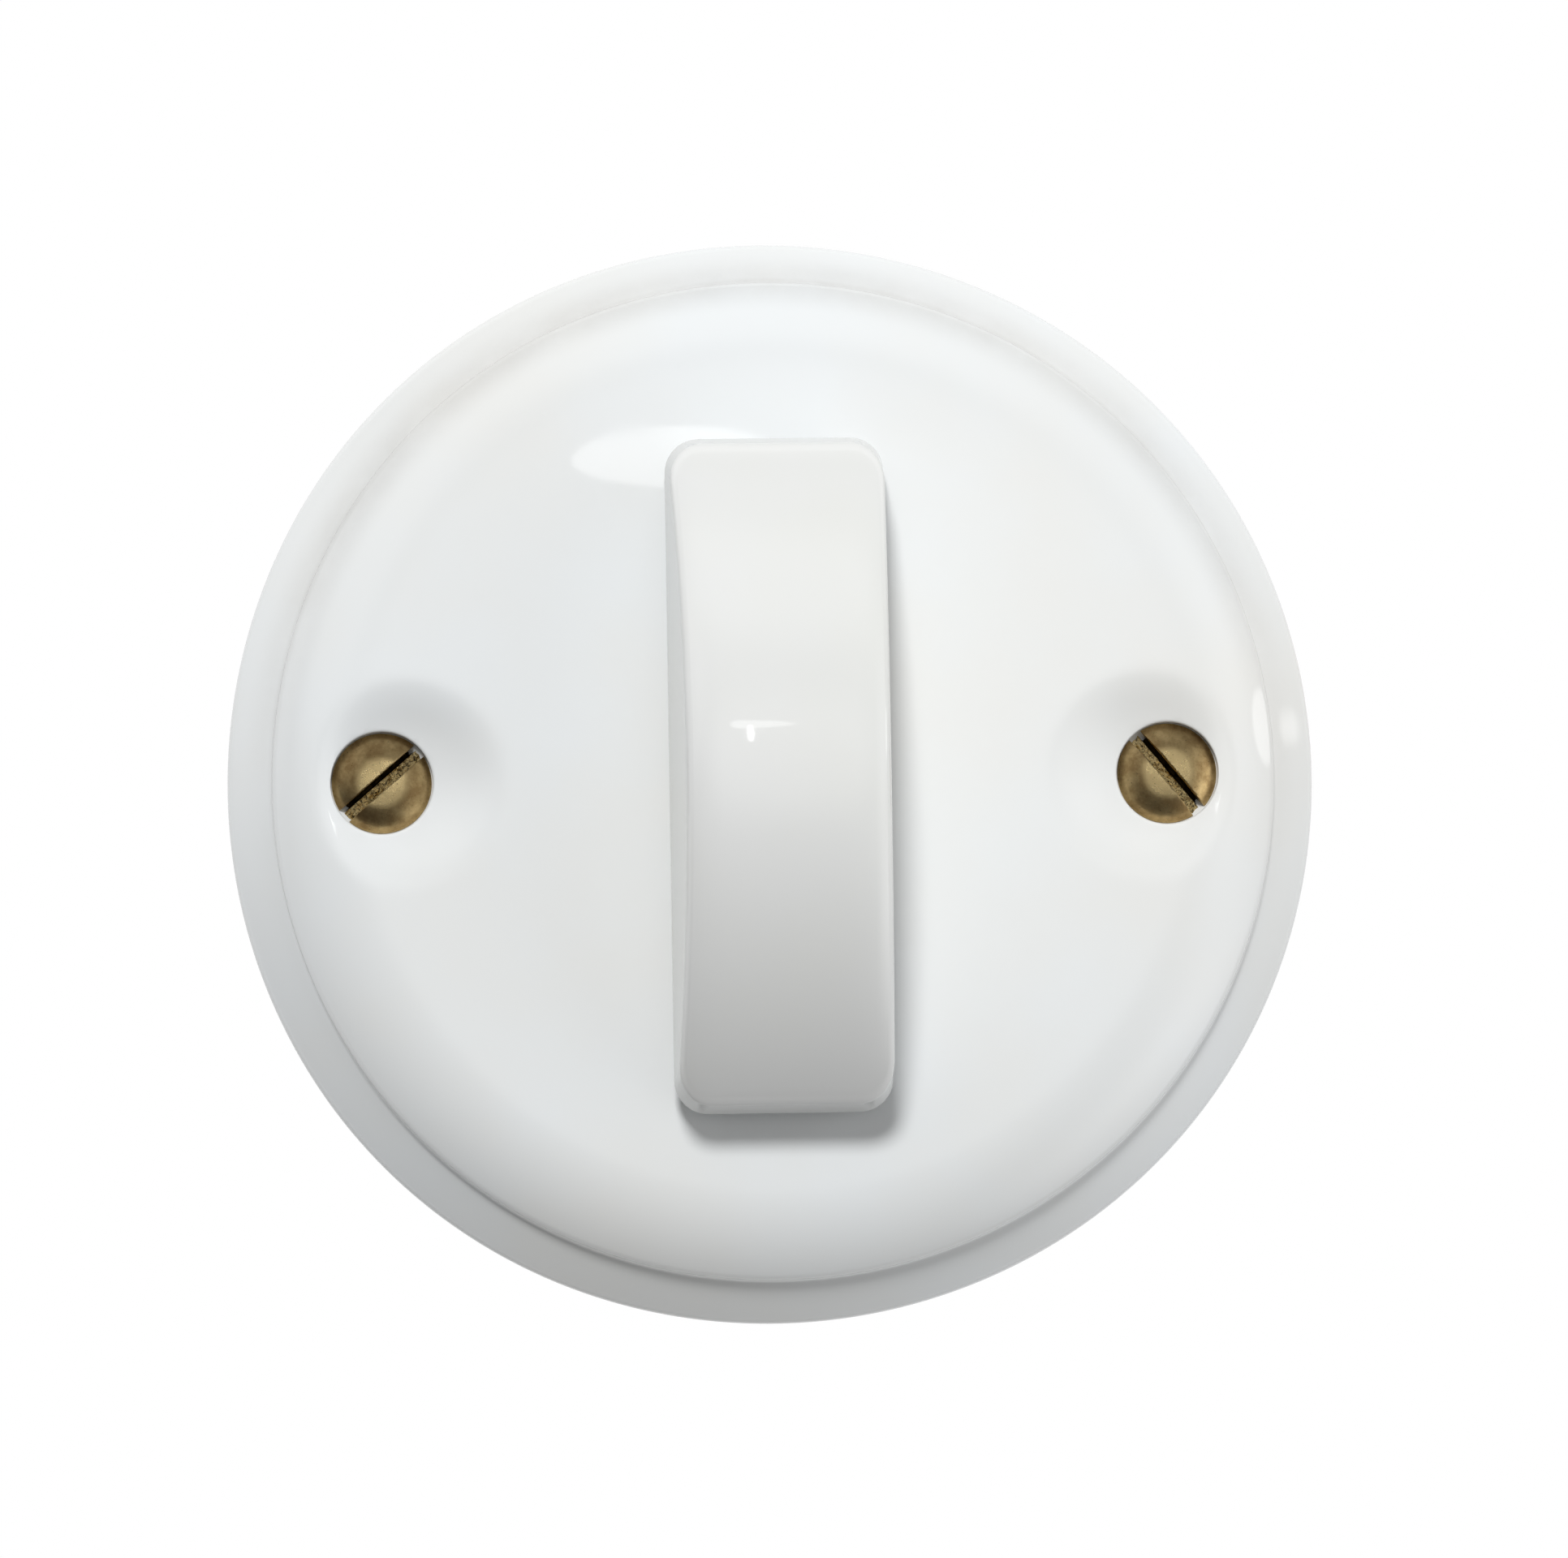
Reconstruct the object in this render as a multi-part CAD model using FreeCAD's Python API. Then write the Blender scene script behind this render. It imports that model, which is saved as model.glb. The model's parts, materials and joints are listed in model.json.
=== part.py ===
import FreeCAD, Part

import math
import os

# A round porcelain rotary switch for a flush wall box, in millimetres and degrees.
# It is drawn lying on its back: switch axis along Z, front towards +Z, wall face at Z = 0.
# Each finished piece is then turned upright, so that the front looks along -Y.

# Screw patterns
COVER_SCREW_SPACING = 60.0
BOX_SCREW_SPACING = 60.0
STRAP_SCREW_SPACING = 34.4

# Cover plate, from the outside in
STRAP_EDGE = 5.4
STRAP_CLEARANCE = 1.75
RIM_WALL = 4.6
RIM_SIDE_HEIGHT = 1.2
RIM_EDGE_ROUND = 1.4
RIM_SLOPE = 44.0
RIM_LAND = 3.8
STEP_FOOT_ROUND = 0.7
STEP_WALL = 0.25
STEP_DRAFT = 5.0
STEP_EDGE_ROUND = 1.0
DOME_EDGE_SLOPE = 40.0
DOME_EDGE_RADIUS = 12.5
DOME_MIDDLE_SLOPE = 6.5
HOLLOW_SIDE_HEIGHT = 2.0
HOLLOW_CORNER_ROUND = 2.0
CEILING_SLOPE = 10.0
HOLE_EDGE_ROUND = 0.8

# Screw dishes and bosses of the cover plate
DISH_DEPTH = 1.6
DISH_RADIUS = 16.0
DISH_EDGE_ROUND = 5.0
COUNTERSINK_DIAMETER = 8.2
COUNTERSINK_ANGLE = 90.0
BOSS_DIAMETER = 10.4
BOSS_CLEARANCE = 0.3

# Cover screws
COVER_HEAD_DIAMETER = 7.6
COVER_HEAD_RISE = 1.15
COVER_HEAD_LAND = 0.15
COVER_SLOT_WIDTH = 1.1
COVER_SLOT_DEPTH = 1.5
COVER_SHANK_DIAMETER = 3.9
COVER_SCREW_REACH = 3.0
COVER_SLOT_ANGLE_LEFT = 40.5
COVER_SLOT_ANGLE_RIGHT = -50.5

# Knob
KNOB_CLEARANCE = 0.7
KNOB_LENGTH = 52.0
KNOB_WIDTH = 16.8
KNOB_HEIGHT = 14.6
KNOB_END_HEIGHT = 3.4
KNOB_ARCH_OVERRUN = 3.1
KNOB_SIDE_DRAFT = 3.2
KNOB_END_DRAFT = 15.0
KNOB_CORNER_ROUND = 2.6
KNOB_EDGE_ROUND = 0.9
KNOB_FOOT_ROUND = 0.7
KNOB_POCKET_WALL = 3.2
KNOB_POCKET_DEPTH = 2.6
KNOB_POCKET_ROUND = 1.5
NECK_DIAMETER = 13.2
NECK_LENGTH = 4.6
NECK_CLEARANCE = 0.6

# Brass socket in the knob and the leaf that grips the spindle
INSERT_DIAMETER = 9.0
INSERT_LENGTH = 16.0
INSERT_GROOVE_WIDTH = 1.2
INSERT_GROOVE_DEPTH = 0.5
INSERT_GROOVE_PITCH = 3.6
INSERT_GROOVE_COUNT = 3
CEMENT_LAYER = 0.1
SOCKET_ENGAGEMENT = 12.0
SOCKET_END_ROOM = 0.5
LEAF_THICKNESS = 0.3
LEAF_WIDTH = 2.2
LEAF_CHANNEL_DEPTH = 0.9
LEAF_CHANNEL_WIDTH = 2.6
LEAF_BOW_RADIUS = 15.0

# Spindle and its bearings
SPINDLE_TOP_SQUARE = 4.2
SPINDLE_JOURNAL_DIAMETER = 6.4
SPINDLE_COLLAR_DIAMETER = 7.8
SPINDLE_COLLAR_HEIGHT = 0.6
SPINDLE_DRIVE_SQUARE = 4.4
SPINDLE_END_DIAMETER = 4.0
SPINDLE_END_REACH = 1.0
BUSH_WALL = 1.2
BUSH_FLANGE_DIAMETER = 12.8
BUSH_FLANGE_HEIGHT = 1.4
BUSH_TAIL = 0.6
WASHER_DIAMETER = 8.4
WASHER_THICKNESS = 0.45
CLIP_DIAMETER = 8.6
CLIP_THICKNESS = 0.6
CLIP_GROOVE_DEPTH = 0.5
CLIP_MOUTH = 2.4

# Fits
RUNNING_FIT = 0.05
SLIDING_FIT = 0.03
AXIAL_PLAY = 0.05
SCREW_FIT = 0.05
SCREW_CLEARANCE = 0.2

# Mounting strap and insulating disc
STRAP_THICKNESS = 1.2
STRAP_COLLAR_WALL = 1.3
STRAP_COLLAR_LENGTH = 2.0
BOX_SLOT_WIDTH = 3.8
BOX_SLOT_LENGTH = 7.0
DISC_THICKNESS = 0.8
DISC_EDGE = 3.0
DISC_CLEARANCE = 0.5

# Strap screws and nuts
STRAP_SCREW_DIAMETER = 2.9
STRAP_SCREW_HEAD_DIAMETER = 5.2
STRAP_SCREW_HEAD_HEIGHT = 1.8
STRAP_SCREW_SLOT = 0.8
STRAP_SCREW_TIP = 0.6
NUT_WIDTH = 5.5
NUT_THICKNESS = 2.4
NUT_LEVEL = 14.2
NUT_CLEARANCE = 0.1

# Switch base
BASE_FLOOR = 3.4
BASE_RECESS_DEPTH = 3.0
BASE_RECESS_CLEARANCE = 1.5
BASE_EDGE_ROUND = 1.0
BASE_SCREW_MARGIN = 0.5
CHAMBER_CLEARANCE = 1.3
CHAMBER_FLOOR_CLEARANCE = 0.4

# Detent
CAM_WIDTH = 11.0
CAM_CORNER_ROUND = 1.5
CAM_THICKNESS = 5.0
POCKET_FLOOR_CLEARANCE = 0.7
DETENT_SPRING_LENGTH = 30.0
DETENT_SPRING_WIDTH = 4.4
DETENT_SPRING_THICKNESS = 0.4
DETENT_SPRING_BEND = 0.8
DETENT_SPRING_HOOK = 2.2
DETENT_SPRING_FIT = 0.05
DETENT_FREE_LENGTH = 20.0
DETENT_FREE_CLEARANCE = 0.7

# Contact drum, segments and fingers
DRUM_DIAMETER = 18.0
DRUM_LENGTH = 14.4
DRUM_GAP = 1.0
HUB_DIAMETER = 10.0
HUB_GAP = 0.1
SEGMENT_ANGLE = 110.0
SEGMENT_WIDTH = 6.0
SEGMENT_THICKNESS = 1.0
SEGMENT_LEVEL = 6.2
FINGER_WIDTH = 5.0
FINGER_THICKNESS = 0.5
FINGER_REACH = 5.9
FINGER_NOSE_RADIUS = 1.0
FINGER_BEND_RADIUS = 1.0
FINGER_ANGLE = 28.0
FINGER_TAIL = 1.6
FINGER_LEG = 3.0
FINGER_TAB_RISE = 1.1
FINGER_SLOT_CLEARANCE = 0.6
CONTACT_FIT = 0.05

# Terminals and their screws
TERMINAL_COUNT = 4
TERMINAL_DEPTH = 6.8
TERMINAL_WIDTH = 7.0
TERMINAL_HEIGHT = 12.0
TERMINAL_EDGE_ROUND = 0.5
TERMINAL_CLEARANCE = 0.8
WIRE_BORE_DIAMETER = 3.0
WIRE_BORE_LENGTH = 7.5
FIXING_SCREW_DIAMETER = 2.8
FIXING_HEAD_DIAMETER = 5.0
FIXING_HEAD_HEIGHT = 1.8
FIXING_SCREW_LENGTH = 7.7
FIXING_SLOT = 0.8
FIXING_ROOF = 4.1
FIXING_COUNTERBORE_CLEARANCE = 0.4
CLAMP_SCREW_DIAMETER = 2.9
CLAMP_HEAD_DIAMETER = 4.8
CLAMP_HEAD_HEIGHT = 1.6
CLAMP_SLOT = 0.8
CLAMP_LEVEL = 3.6

# Levels along the switch axis
strap_front = STRAP_THICKNESS
base_front = -DISC_THICKNESS
bush_front = strap_front + BUSH_FLANGE_HEIGHT
bush_back = -BUSH_TAIL
collar_back = bush_back - AXIAL_PLAY - SPINDLE_COLLAR_HEIGHT
cam_front = collar_back - AXIAL_PLAY
cam_back = cam_front - CAM_THICKNESS
pocket_floor = cam_back - POCKET_FLOOR_CLEARANCE
drum_front = cam_back - DRUM_GAP
drum_back = drum_front - DRUM_LENGTH
chamber_floor = drum_back - CHAMBER_FLOOR_CLEARANCE
recess_floor = chamber_floor - BASE_FLOOR
base_back = recess_floor - BASE_RECESS_DEPTH
washer_back = recess_floor - AXIAL_PLAY - WASHER_THICKNESS
clip_back = washer_back - AXIAL_PLAY - CLIP_THICKNESS
spindle_end = clip_back - SPINDLE_END_REACH
shoulder = bush_front + 2 * AXIAL_PLAY
segment_front = drum_front - SEGMENT_LEVEL
finger_front = segment_front - (SEGMENT_WIDTH - FINGER_WIDTH) / 2
finger_back = finger_front - FINGER_WIDTH
notch_roof = finger_front + FINGER_TAB_RISE
terminal_front = notch_roof - FINGER_THICKNESS
terminal_back = terminal_front - TERMINAL_HEIGHT
fixing_seat = notch_roof + FIXING_ROOF
nut_front = base_front - NUT_LEVEL

# Radii and half widths
cover_screw_radius = COVER_SCREW_SPACING / 2
strap_radius = max(COVER_SCREW_SPACING, BOX_SCREW_SPACING) / 2 + STRAP_EDGE
hollow_radius = strap_radius + STRAP_CLEARANCE
plate_radius = hollow_radius + RIM_WALL
neck_radius = NECK_DIAMETER / 2
hole_radius = neck_radius + NECK_CLEARANCE
journal_radius = SPINDLE_JOURNAL_DIAMETER / 2
bush_radius = journal_radius + RUNNING_FIT + BUSH_WALL
end_radius = SPINDLE_END_DIAMETER / 2
drum_radius = DRUM_DIAMETER / 2
chamber_radius = drum_radius + CHAMBER_CLEARANCE
finger_leg = drum_radius + FINGER_REACH
terminal_inner = finger_leg + FINGER_THICKNESS / 2 + SLIDING_FIT
terminal_axis = terminal_inner + TERMINAL_DEPTH / 2
terminal_outer = terminal_inner + TERMINAL_DEPTH
base_radius = terminal_outer + AXIAL_PLAY + CLAMP_HEAD_HEIGHT + BASE_SCREW_MARGIN
notch_half = TERMINAL_WIDTH / 2 + TERMINAL_CLEARANCE
cam_half = CAM_WIDTH / 2
spring_inner = cam_half + DETENT_SPRING_FIT
spring_outer = spring_inner + DETENT_SPRING_THICKNESS

AXIS = FreeCAD.Vector(0, 0, 1)
ORIGIN = FreeCAD.Vector(0, 0, 0)
SAME = 0.001
NEARLY_ALONG = 0.9


class Trace:
    """A chain of lines and tangent arcs in a plane, drawn from a start point and a heading."""

    def __init__(self, first, second, heading, to_point):
        self.at = (first, second)
        self.heading = heading
        self.to_point = to_point
        self.edges = []

    def beside(self, angle, distance):
        turn = math.radians(angle)
        return (self.at[0] + distance * math.cos(turn), self.at[1] + distance * math.sin(turn))

    def line(self, length):
        end = self.beside(self.heading, length)
        self.edges.append(Part.makeLine(self.to_point(*self.at), self.to_point(*end)))
        self.at = end

    def arc(self, radius, turn):
        side = 90 if turn > 0 else -90
        start = self.at
        self.at = centre = self.beside(self.heading + side, radius)
        middle = self.beside(self.heading - side + turn / 2, radius)
        end = self.beside(self.heading - side + turn, radius)
        points = [self.to_point(*p) for p in (start, middle, end)]
        self.edges.append(Part.Arc(*points).toShape())
        self.at = end
        self.heading += turn
        return centre


def in_section(radius, height):
    """A point of a turned piece's section, drawn in the XZ plane."""
    return FreeCAD.Vector(radius, 0, height)


def in_plan(x, y):
    return FreeCAD.Vector(x, y, 0)


def in_side(y, z):
    return FreeCAD.Vector(0, y, z)


def face_of(edges):
    return Part.Face(Part.Wire(Part.__sortEdges__(edges)))


def polygon(points):
    return Part.Face(Part.makePolygon(points + points[:1]))


def turned(face):
    return face.revolve(ORIGIN, AXIS, 360)


def cylinder(radius, low, high, x=0.0, y=0.0):
    return Part.makeCylinder(radius, high - low, FreeCAD.Vector(x, y, low))


def block(x_low, x_high, y_low, y_high, low, high):
    corner = FreeCAD.Vector(x_low, y_low, low)
    return Part.makeBox(x_high - x_low, y_high - y_low, high - low, corner)


def square_bar(width, low, high):
    half = width / 2
    return block(-half, half, -half, half, low, high)


def hexagon(width, low, high, x, y):
    corner = width / math.sqrt(3)
    points = []
    for step in range(6):
        turn = math.radians(60 * step)
        points.append(FreeCAD.Vector(x + corner * math.cos(turn), y + corner * math.sin(turn), low))
    return polygon(points).extrude(AXIS * (high - low))


def slot(length, width, low, high, y):
    """A round-ended slot along Y, centred on x = 0."""
    half = (length - width) / 2
    middle = block(-width / 2, width / 2, y - half, y + half, low, high)
    ends = [cylinder(width / 2, low, high, 0.0, y + half), cylinder(width / 2, low, high, 0.0, y - half)]
    return middle.fuse(ends).removeSplitter()


def moved(shape, x=0.0, y=0.0, z=0.0):
    copy = shape.copy()
    copy.translate(FreeCAD.Vector(x, y, z))
    return copy


def spun(shape, angle):
    copy = shape.copy()
    copy.rotate(ORIGIN, AXIS, angle)
    return copy


def strip(start, heading, moves, thickness, to_point):
    """The face of a bent strip: its middle line is drawn by the moves, its two sides run beside it."""
    sides = []
    for offset in (thickness / 2, -thickness / 2):
        turn = math.radians(heading + 90)
        first = start[0] + offset * math.cos(turn)
        second = start[1] + offset * math.sin(turn)
        side = Trace(first, second, heading, to_point)
        for length, bend in moves:
            if bend:
                side.arc(length - math.copysign(1, bend) * offset, bend)
            else:
                side.line(length)
        sides.append((to_point(first, second), side))
    (left_start, left), (right_start, right) = sides
    near_cap = Part.makeLine(left_start, right_start)
    far_cap = Part.makeLine(to_point(*left.at), to_point(*right.at))
    return face_of(left.edges + right.edges + [near_cap, far_cap])


def slotted_screw(head, head_height, shank, length, slot_width):
    """A cheese-headed screw standing on its shank, with the underside of its head at z = 0."""
    screw = cylinder(head / 2, 0, head_height).fuse(cylinder(shank / 2, -length, 0))
    cut = block(-head, head, -slot_width / 2, slot_width / 2, head_height / 2, 2 * head_height)
    return screw.cut(cut).removeSplitter()


def around_terminals():
    """The angles of the terminals, between the cover screws and the box screws."""
    pitch = 360 / TERMINAL_COUNT
    return [pitch / 2 + pitch * step for step in range(TERMINAL_COUNT)]


def dome_line():
    """The plate's outer section from the wall up to the edge of the centre hole."""
    line = Trace(plate_radius, 0, 90, in_section)
    line.line(RIM_SIDE_HEIGHT)
    line.arc(RIM_EDGE_ROUND, 90 - RIM_SLOPE)
    line.line(RIM_LAND)
    line.arc(STEP_FOOT_ROUND, RIM_SLOPE + STEP_DRAFT - 90)
    line.line(STEP_WALL)
    line.arc(STEP_EDGE_ROUND, 90 - STEP_DRAFT - DOME_EDGE_SLOPE)
    line.arc(DOME_EDGE_RADIUS, DOME_EDGE_SLOPE - DOME_MIDDLE_SLOPE)
    radius = line.at[0] / math.sin(math.radians(DOME_MIDDLE_SLOPE))
    hole_slope = math.degrees(math.asin(hole_radius / radius))
    centre = line.arc(radius, DOME_MIDDLE_SLOPE - hole_slope)
    return line, centre[1], radius


def ceiling_line():
    """The plate's inner section, from the rim's inner edge to the edge of the centre hole."""
    line = Trace(hollow_radius, 0, 90, in_section)
    line.line(HOLLOW_SIDE_HEIGHT)
    line.arc(HOLLOW_CORNER_ROUND, 90 - CEILING_SLOPE)
    radius = line.at[0] / math.sin(math.radians(CEILING_SLOPE))
    line.arc(radius, CEILING_SLOPE - math.degrees(math.asin(hole_radius / radius)))
    return line


outer_line, dome_centre, dome_radius = dome_line()
plate_top = dome_centre + dome_radius
dome_at_screw = dome_centre + math.sqrt(dome_radius**2 - cover_screw_radius**2)
dish_floor = dome_at_screw - DISH_DEPTH
cone_slope = math.tan(math.radians(COUNTERSINK_ANGLE / 2))
head_level = dish_floor - (COUNTERSINK_DIAMETER - COVER_HEAD_DIAMETER) / 2 / cone_slope
knob_back = plate_top + KNOB_CLEARANCE
neck_back = knob_back - NECK_LENGTH
insert_front = shoulder + INSERT_LENGTH
spindle_front = shoulder + SOCKET_ENGAGEMENT
nut_pocket_width = NUT_WIDTH + 2 * NUT_CLEARANCE


def countersink(top_radius, small_radius, top):
    """A cone that narrows from its top radius down to the small radius."""
    depth = (top_radius - small_radius) / cone_slope
    return Part.makeCone(small_radius, top_radius, depth, FreeCAD.Vector(0, 0, top - depth))


def screw_hole():
    """The countersink and clearance hole for a cover screw, about its own axis."""
    hole = COVER_SHANK_DIAMETER / 2 + SCREW_CLEARANCE
    rise = plate_top - dish_floor
    sink = countersink(COUNTERSINK_DIAMETER / 2 + rise * cone_slope, hole, plate_top)
    return sink.fuse(cylinder(hole, 0, dish_floor))


def cover_plate():
    ceiling = ceiling_line()
    outer_end = in_section(*outer_line.at)
    inner_end = in_section(*ceiling.at)
    closing = [
        Part.makeLine(outer_end, inner_end),
        Part.makeLine(in_section(hollow_radius, 0), in_section(plate_radius, 0)),
    ]
    plate = turned(face_of(outer_line.edges + ceiling.edges + closing))
    rims = [e for e in plate.Edges if is_circle(e, hole_radius)]
    front_rim = max(rims, key=lambda e: e.Curve.Center.z)
    plate = plate.makeFillet(HOLE_EDGE_ROUND, [front_rim])
    boss_back = strap_front + BOSS_CLEARANCE
    for side in (-1, 1):
        plate = plate.fuse(cylinder(BOSS_DIAMETER / 2, boss_back, dish_floor, side * cover_screw_radius))
    for side in (-1, 1):
        x = side * cover_screw_radius
        plate = plate.cut(Part.makeSphere(DISH_RADIUS, FreeCAD.Vector(x, 0, dish_floor + DISH_RADIUS)))
    dish_rims = [e for f in plate.Faces if is_dish(f) for e in f.Edges]
    plate = plate.makeFillet(DISH_EDGE_ROUND, dish_rims)
    for side in (-1, 1):
        plate = plate.cut(moved(screw_hole(), side * cover_screw_radius))
    return plate


def is_dish(face):
    """Is this face the hollow of a screw dish?"""
    surface = face.Surface
    return isinstance(surface, Part.Sphere) and abs(surface.Radius - DISH_RADIUS) < SAME


def is_circle(edge, radius):
    return isinstance(edge.Curve, Part.Circle) and abs(edge.Curve.Radius - radius) < SAME


def cover_screw(slot_angle):
    head = COVER_HEAD_DIAMETER / 2
    shank = COVER_SHANK_DIAMETER / 2
    rise = COVER_HEAD_RISE
    land = head_level + COVER_HEAD_LAND
    cap_radius = (head**2 + rise**2) / (2 * rise)
    cap = Part.makeSphere(cap_radius, FreeCAD.Vector(0, 0, land + rise - cap_radius))
    cap = cap.common(cylinder(head, land, land + 2 * rise))
    screw = cap.fuse([
        cylinder(head, head_level, land),
        countersink(head, shank, head_level),
        cylinder(shank, -STRAP_COLLAR_LENGTH - COVER_SCREW_REACH, head_level),
    ])
    half = COVER_SLOT_WIDTH / 2
    top = land + rise
    cut = block(-head, head, -half, half, top - COVER_SLOT_DEPTH, top + rise)
    return screw.cut(spun(cut, slot_angle)).removeSplitter()


def cover_screws():
    left = moved(cover_screw(COVER_SLOT_ANGLE_LEFT), -cover_screw_radius)
    right = moved(cover_screw(COVER_SLOT_ANGLE_RIGHT), cover_screw_radius)
    return Part.makeCompound([left, right])


def knob_arch(end, end_front, front):
    """The knob's front from end to end: an elliptic arch that would run on a little past both ends."""
    reach = end + KNOB_ARCH_OVERRUN
    start = math.acos(end / reach)
    rise = (front - end_front) / (1 - math.sin(start))
    middle = front - rise
    ellipse = Part.Ellipse(in_side(reach, middle), in_side(0, front), in_side(0, middle))
    return Part.ArcOfEllipse(ellipse, start, math.pi - start).toShape()


def knob():
    half = KNOB_LENGTH / 2
    end = half - KNOB_END_HEIGHT * math.tan(math.radians(KNOB_END_DRAFT))
    end_front = knob_back + KNOB_END_HEIGHT
    front = knob_back + KNOB_HEIGHT
    side = [
        Part.makeLine(in_side(-half, knob_back), in_side(half, knob_back)),
        Part.makeLine(in_side(half, knob_back), in_side(end, end_front)),
        knob_arch(end, end_front, front),
        Part.makeLine(in_side(-end, end_front), in_side(-half, knob_back)),
    ]
    across = FreeCAD.Vector(KNOB_WIDTH, 0, 0)
    bar = moved(face_of(side), -KNOB_WIDTH / 2).extrude(across)
    wide = KNOB_WIDTH / 2
    narrow = wide - KNOB_HEIGHT * math.tan(math.radians(KNOB_SIDE_DRAFT))
    section = [
        FreeCAD.Vector(-wide, -half, knob_back),
        FreeCAD.Vector(wide, -half, knob_back),
        FreeCAD.Vector(narrow, -half, front),
        FreeCAD.Vector(-narrow, -half, front),
    ]
    bar = bar.common(polygon(section).extrude(FreeCAD.Vector(0, KNOB_LENGTH, 0)))
    corners = [e for e in bar.Edges if abs(e.tangentAt(e.FirstParameter).z) > NEARLY_ALONG]
    bar = bar.makeFillet(KNOB_CORNER_ROUND, corners)
    arch = [f for f in bar.Faces if f.normalAt(*middle_of(f)).z > NEARLY_ALONG][0]
    bar = bar.makeFillet(KNOB_EDGE_ROUND, arch.Edges)
    foot = [f for f in bar.Faces if f.normalAt(*middle_of(f)).z < -NEARLY_ALONG][0]
    bar = bar.makeFillet(KNOB_FOOT_ROUND, foot.Edges)
    bar = bar.fuse(cylinder(neck_radius, neck_back, knob_back + KNOB_POCKET_DEPTH))
    inner = neck_radius + KNOB_POCKET_WALL / 2
    pocket = block(
        KNOB_POCKET_WALL - wide, wide - KNOB_POCKET_WALL,
        inner, half - KNOB_POCKET_WALL,
        knob_back - KNOB_FOOT_ROUND, knob_back + KNOB_POCKET_DEPTH,
    )
    uprights = [e for e in pocket.Edges if e.BoundBox.ZLength > KNOB_POCKET_DEPTH]
    pocket = pocket.makeFillet(KNOB_POCKET_ROUND, uprights)
    bore = cylinder(INSERT_DIAMETER / 2 + CEMENT_LAYER, neck_back, insert_front + CEMENT_LAYER)
    return bar.cut([pocket, spun(pocket, 180), bore])


def middle_of(face):
    """The surface parameters at the middle of a face."""
    u_low, u_high, v_low, v_high = face.ParameterRange
    return (u_low + u_high) / 2, (v_low + v_high) / 2


def knob_insert():
    radius = INSERT_DIAMETER / 2
    body = cylinder(radius, shoulder, insert_front)
    ring = cylinder(radius, 0, INSERT_GROOVE_WIDTH).cut(
        cylinder(radius - INSERT_GROOVE_DEPTH, 0, INSERT_GROOVE_WIDTH)
    )
    first = neck_back + INSERT_GROOVE_WIDTH
    for step in range(INSERT_GROOVE_COUNT):
        body = body.cut(moved(ring, z=first + INSERT_GROOVE_PITCH * step))
    socket_end = spindle_front + SOCKET_END_ROOM
    square = SPINDLE_TOP_SQUARE / 2 + SLIDING_FIT
    channel = block(
        -LEAF_CHANNEL_WIDTH / 2, LEAF_CHANNEL_WIDTH / 2,
        -square - LEAF_CHANNEL_DEPTH, 0,
        shoulder, socket_end,
    )
    return body.cut([square_bar(2 * square, shoulder, socket_end), channel])


def knob_spring():
    """A bowed leaf in the socket's channel: its middle bears on the spindle, its ends on the channel."""
    square = SPINDLE_TOP_SQUARE / 2
    floor = -square - SLIDING_FIT - LEAF_CHANNEL_DEPTH
    start = floor + SLIDING_FIT + LEAF_THICKNESS / 2
    bow = -square - SLIDING_FIT - LEAF_THICKNESS / 2 - start
    turn = math.degrees(math.acos(1 - bow / (2 * LEAF_BOW_RADIUS)))
    moves = [(LEAF_BOW_RADIUS, -turn), (LEAF_BOW_RADIUS, 2 * turn), (LEAF_BOW_RADIUS, -turn)]
    rise = 4 * LEAF_BOW_RADIUS * math.sin(math.radians(turn))
    low = shoulder + (SOCKET_ENGAGEMENT - rise) / 2
    leaf = strip((start, low), 90, moves, LEAF_THICKNESS, in_side)
    leaf = moved(leaf, -LEAF_WIDTH / 2)
    return leaf.extrude(FreeCAD.Vector(LEAF_WIDTH, 0, 0))


def spindle():
    pieces = [
        square_bar(SPINDLE_TOP_SQUARE, shoulder, spindle_front),
        cylinder(journal_radius, bush_back - AXIAL_PLAY, shoulder),
        cylinder(SPINDLE_COLLAR_DIAMETER / 2, collar_back, collar_back + SPINDLE_COLLAR_HEIGHT),
        square_bar(SPINDLE_DRIVE_SQUARE, drum_back, collar_back),
        cylinder(end_radius, spindle_end, drum_back),
    ]
    shaft = pieces[0].fuse(pieces[1:])
    low = clip_back - AXIAL_PLAY
    high = clip_back + CLIP_THICKNESS + AXIAL_PLAY
    groove = cylinder(end_radius, low, high).cut(cylinder(end_radius - CLIP_GROOVE_DEPTH, low, high))
    return shaft.cut(groove).removeSplitter()


def bearing_bush():
    flange = cylinder(BUSH_FLANGE_DIAMETER / 2, strap_front, bush_front)
    barrel = cylinder(bush_radius, bush_back, strap_front)
    bore = cylinder(journal_radius + RUNNING_FIT, bush_back, bush_front)
    return flange.fuse(barrel).cut(bore).removeSplitter()


def thrust_washer():
    back = washer_back
    ring = cylinder(WASHER_DIAMETER / 2, back, back + WASHER_THICKNESS)
    return ring.cut(cylinder(end_radius + RUNNING_FIT, back, back + WASHER_THICKNESS))


def retaining_clip():
    front = clip_back + CLIP_THICKNESS
    inner = end_radius - CLIP_GROOVE_DEPTH + SLIDING_FIT
    ring = cylinder(CLIP_DIAMETER / 2, clip_back, front)
    mouth = block(0, CLIP_DIAMETER, -CLIP_MOUTH / 2, CLIP_MOUTH / 2, clip_back, front)
    return ring.cut([cylinder(inner, clip_back, front), mouth])


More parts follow.
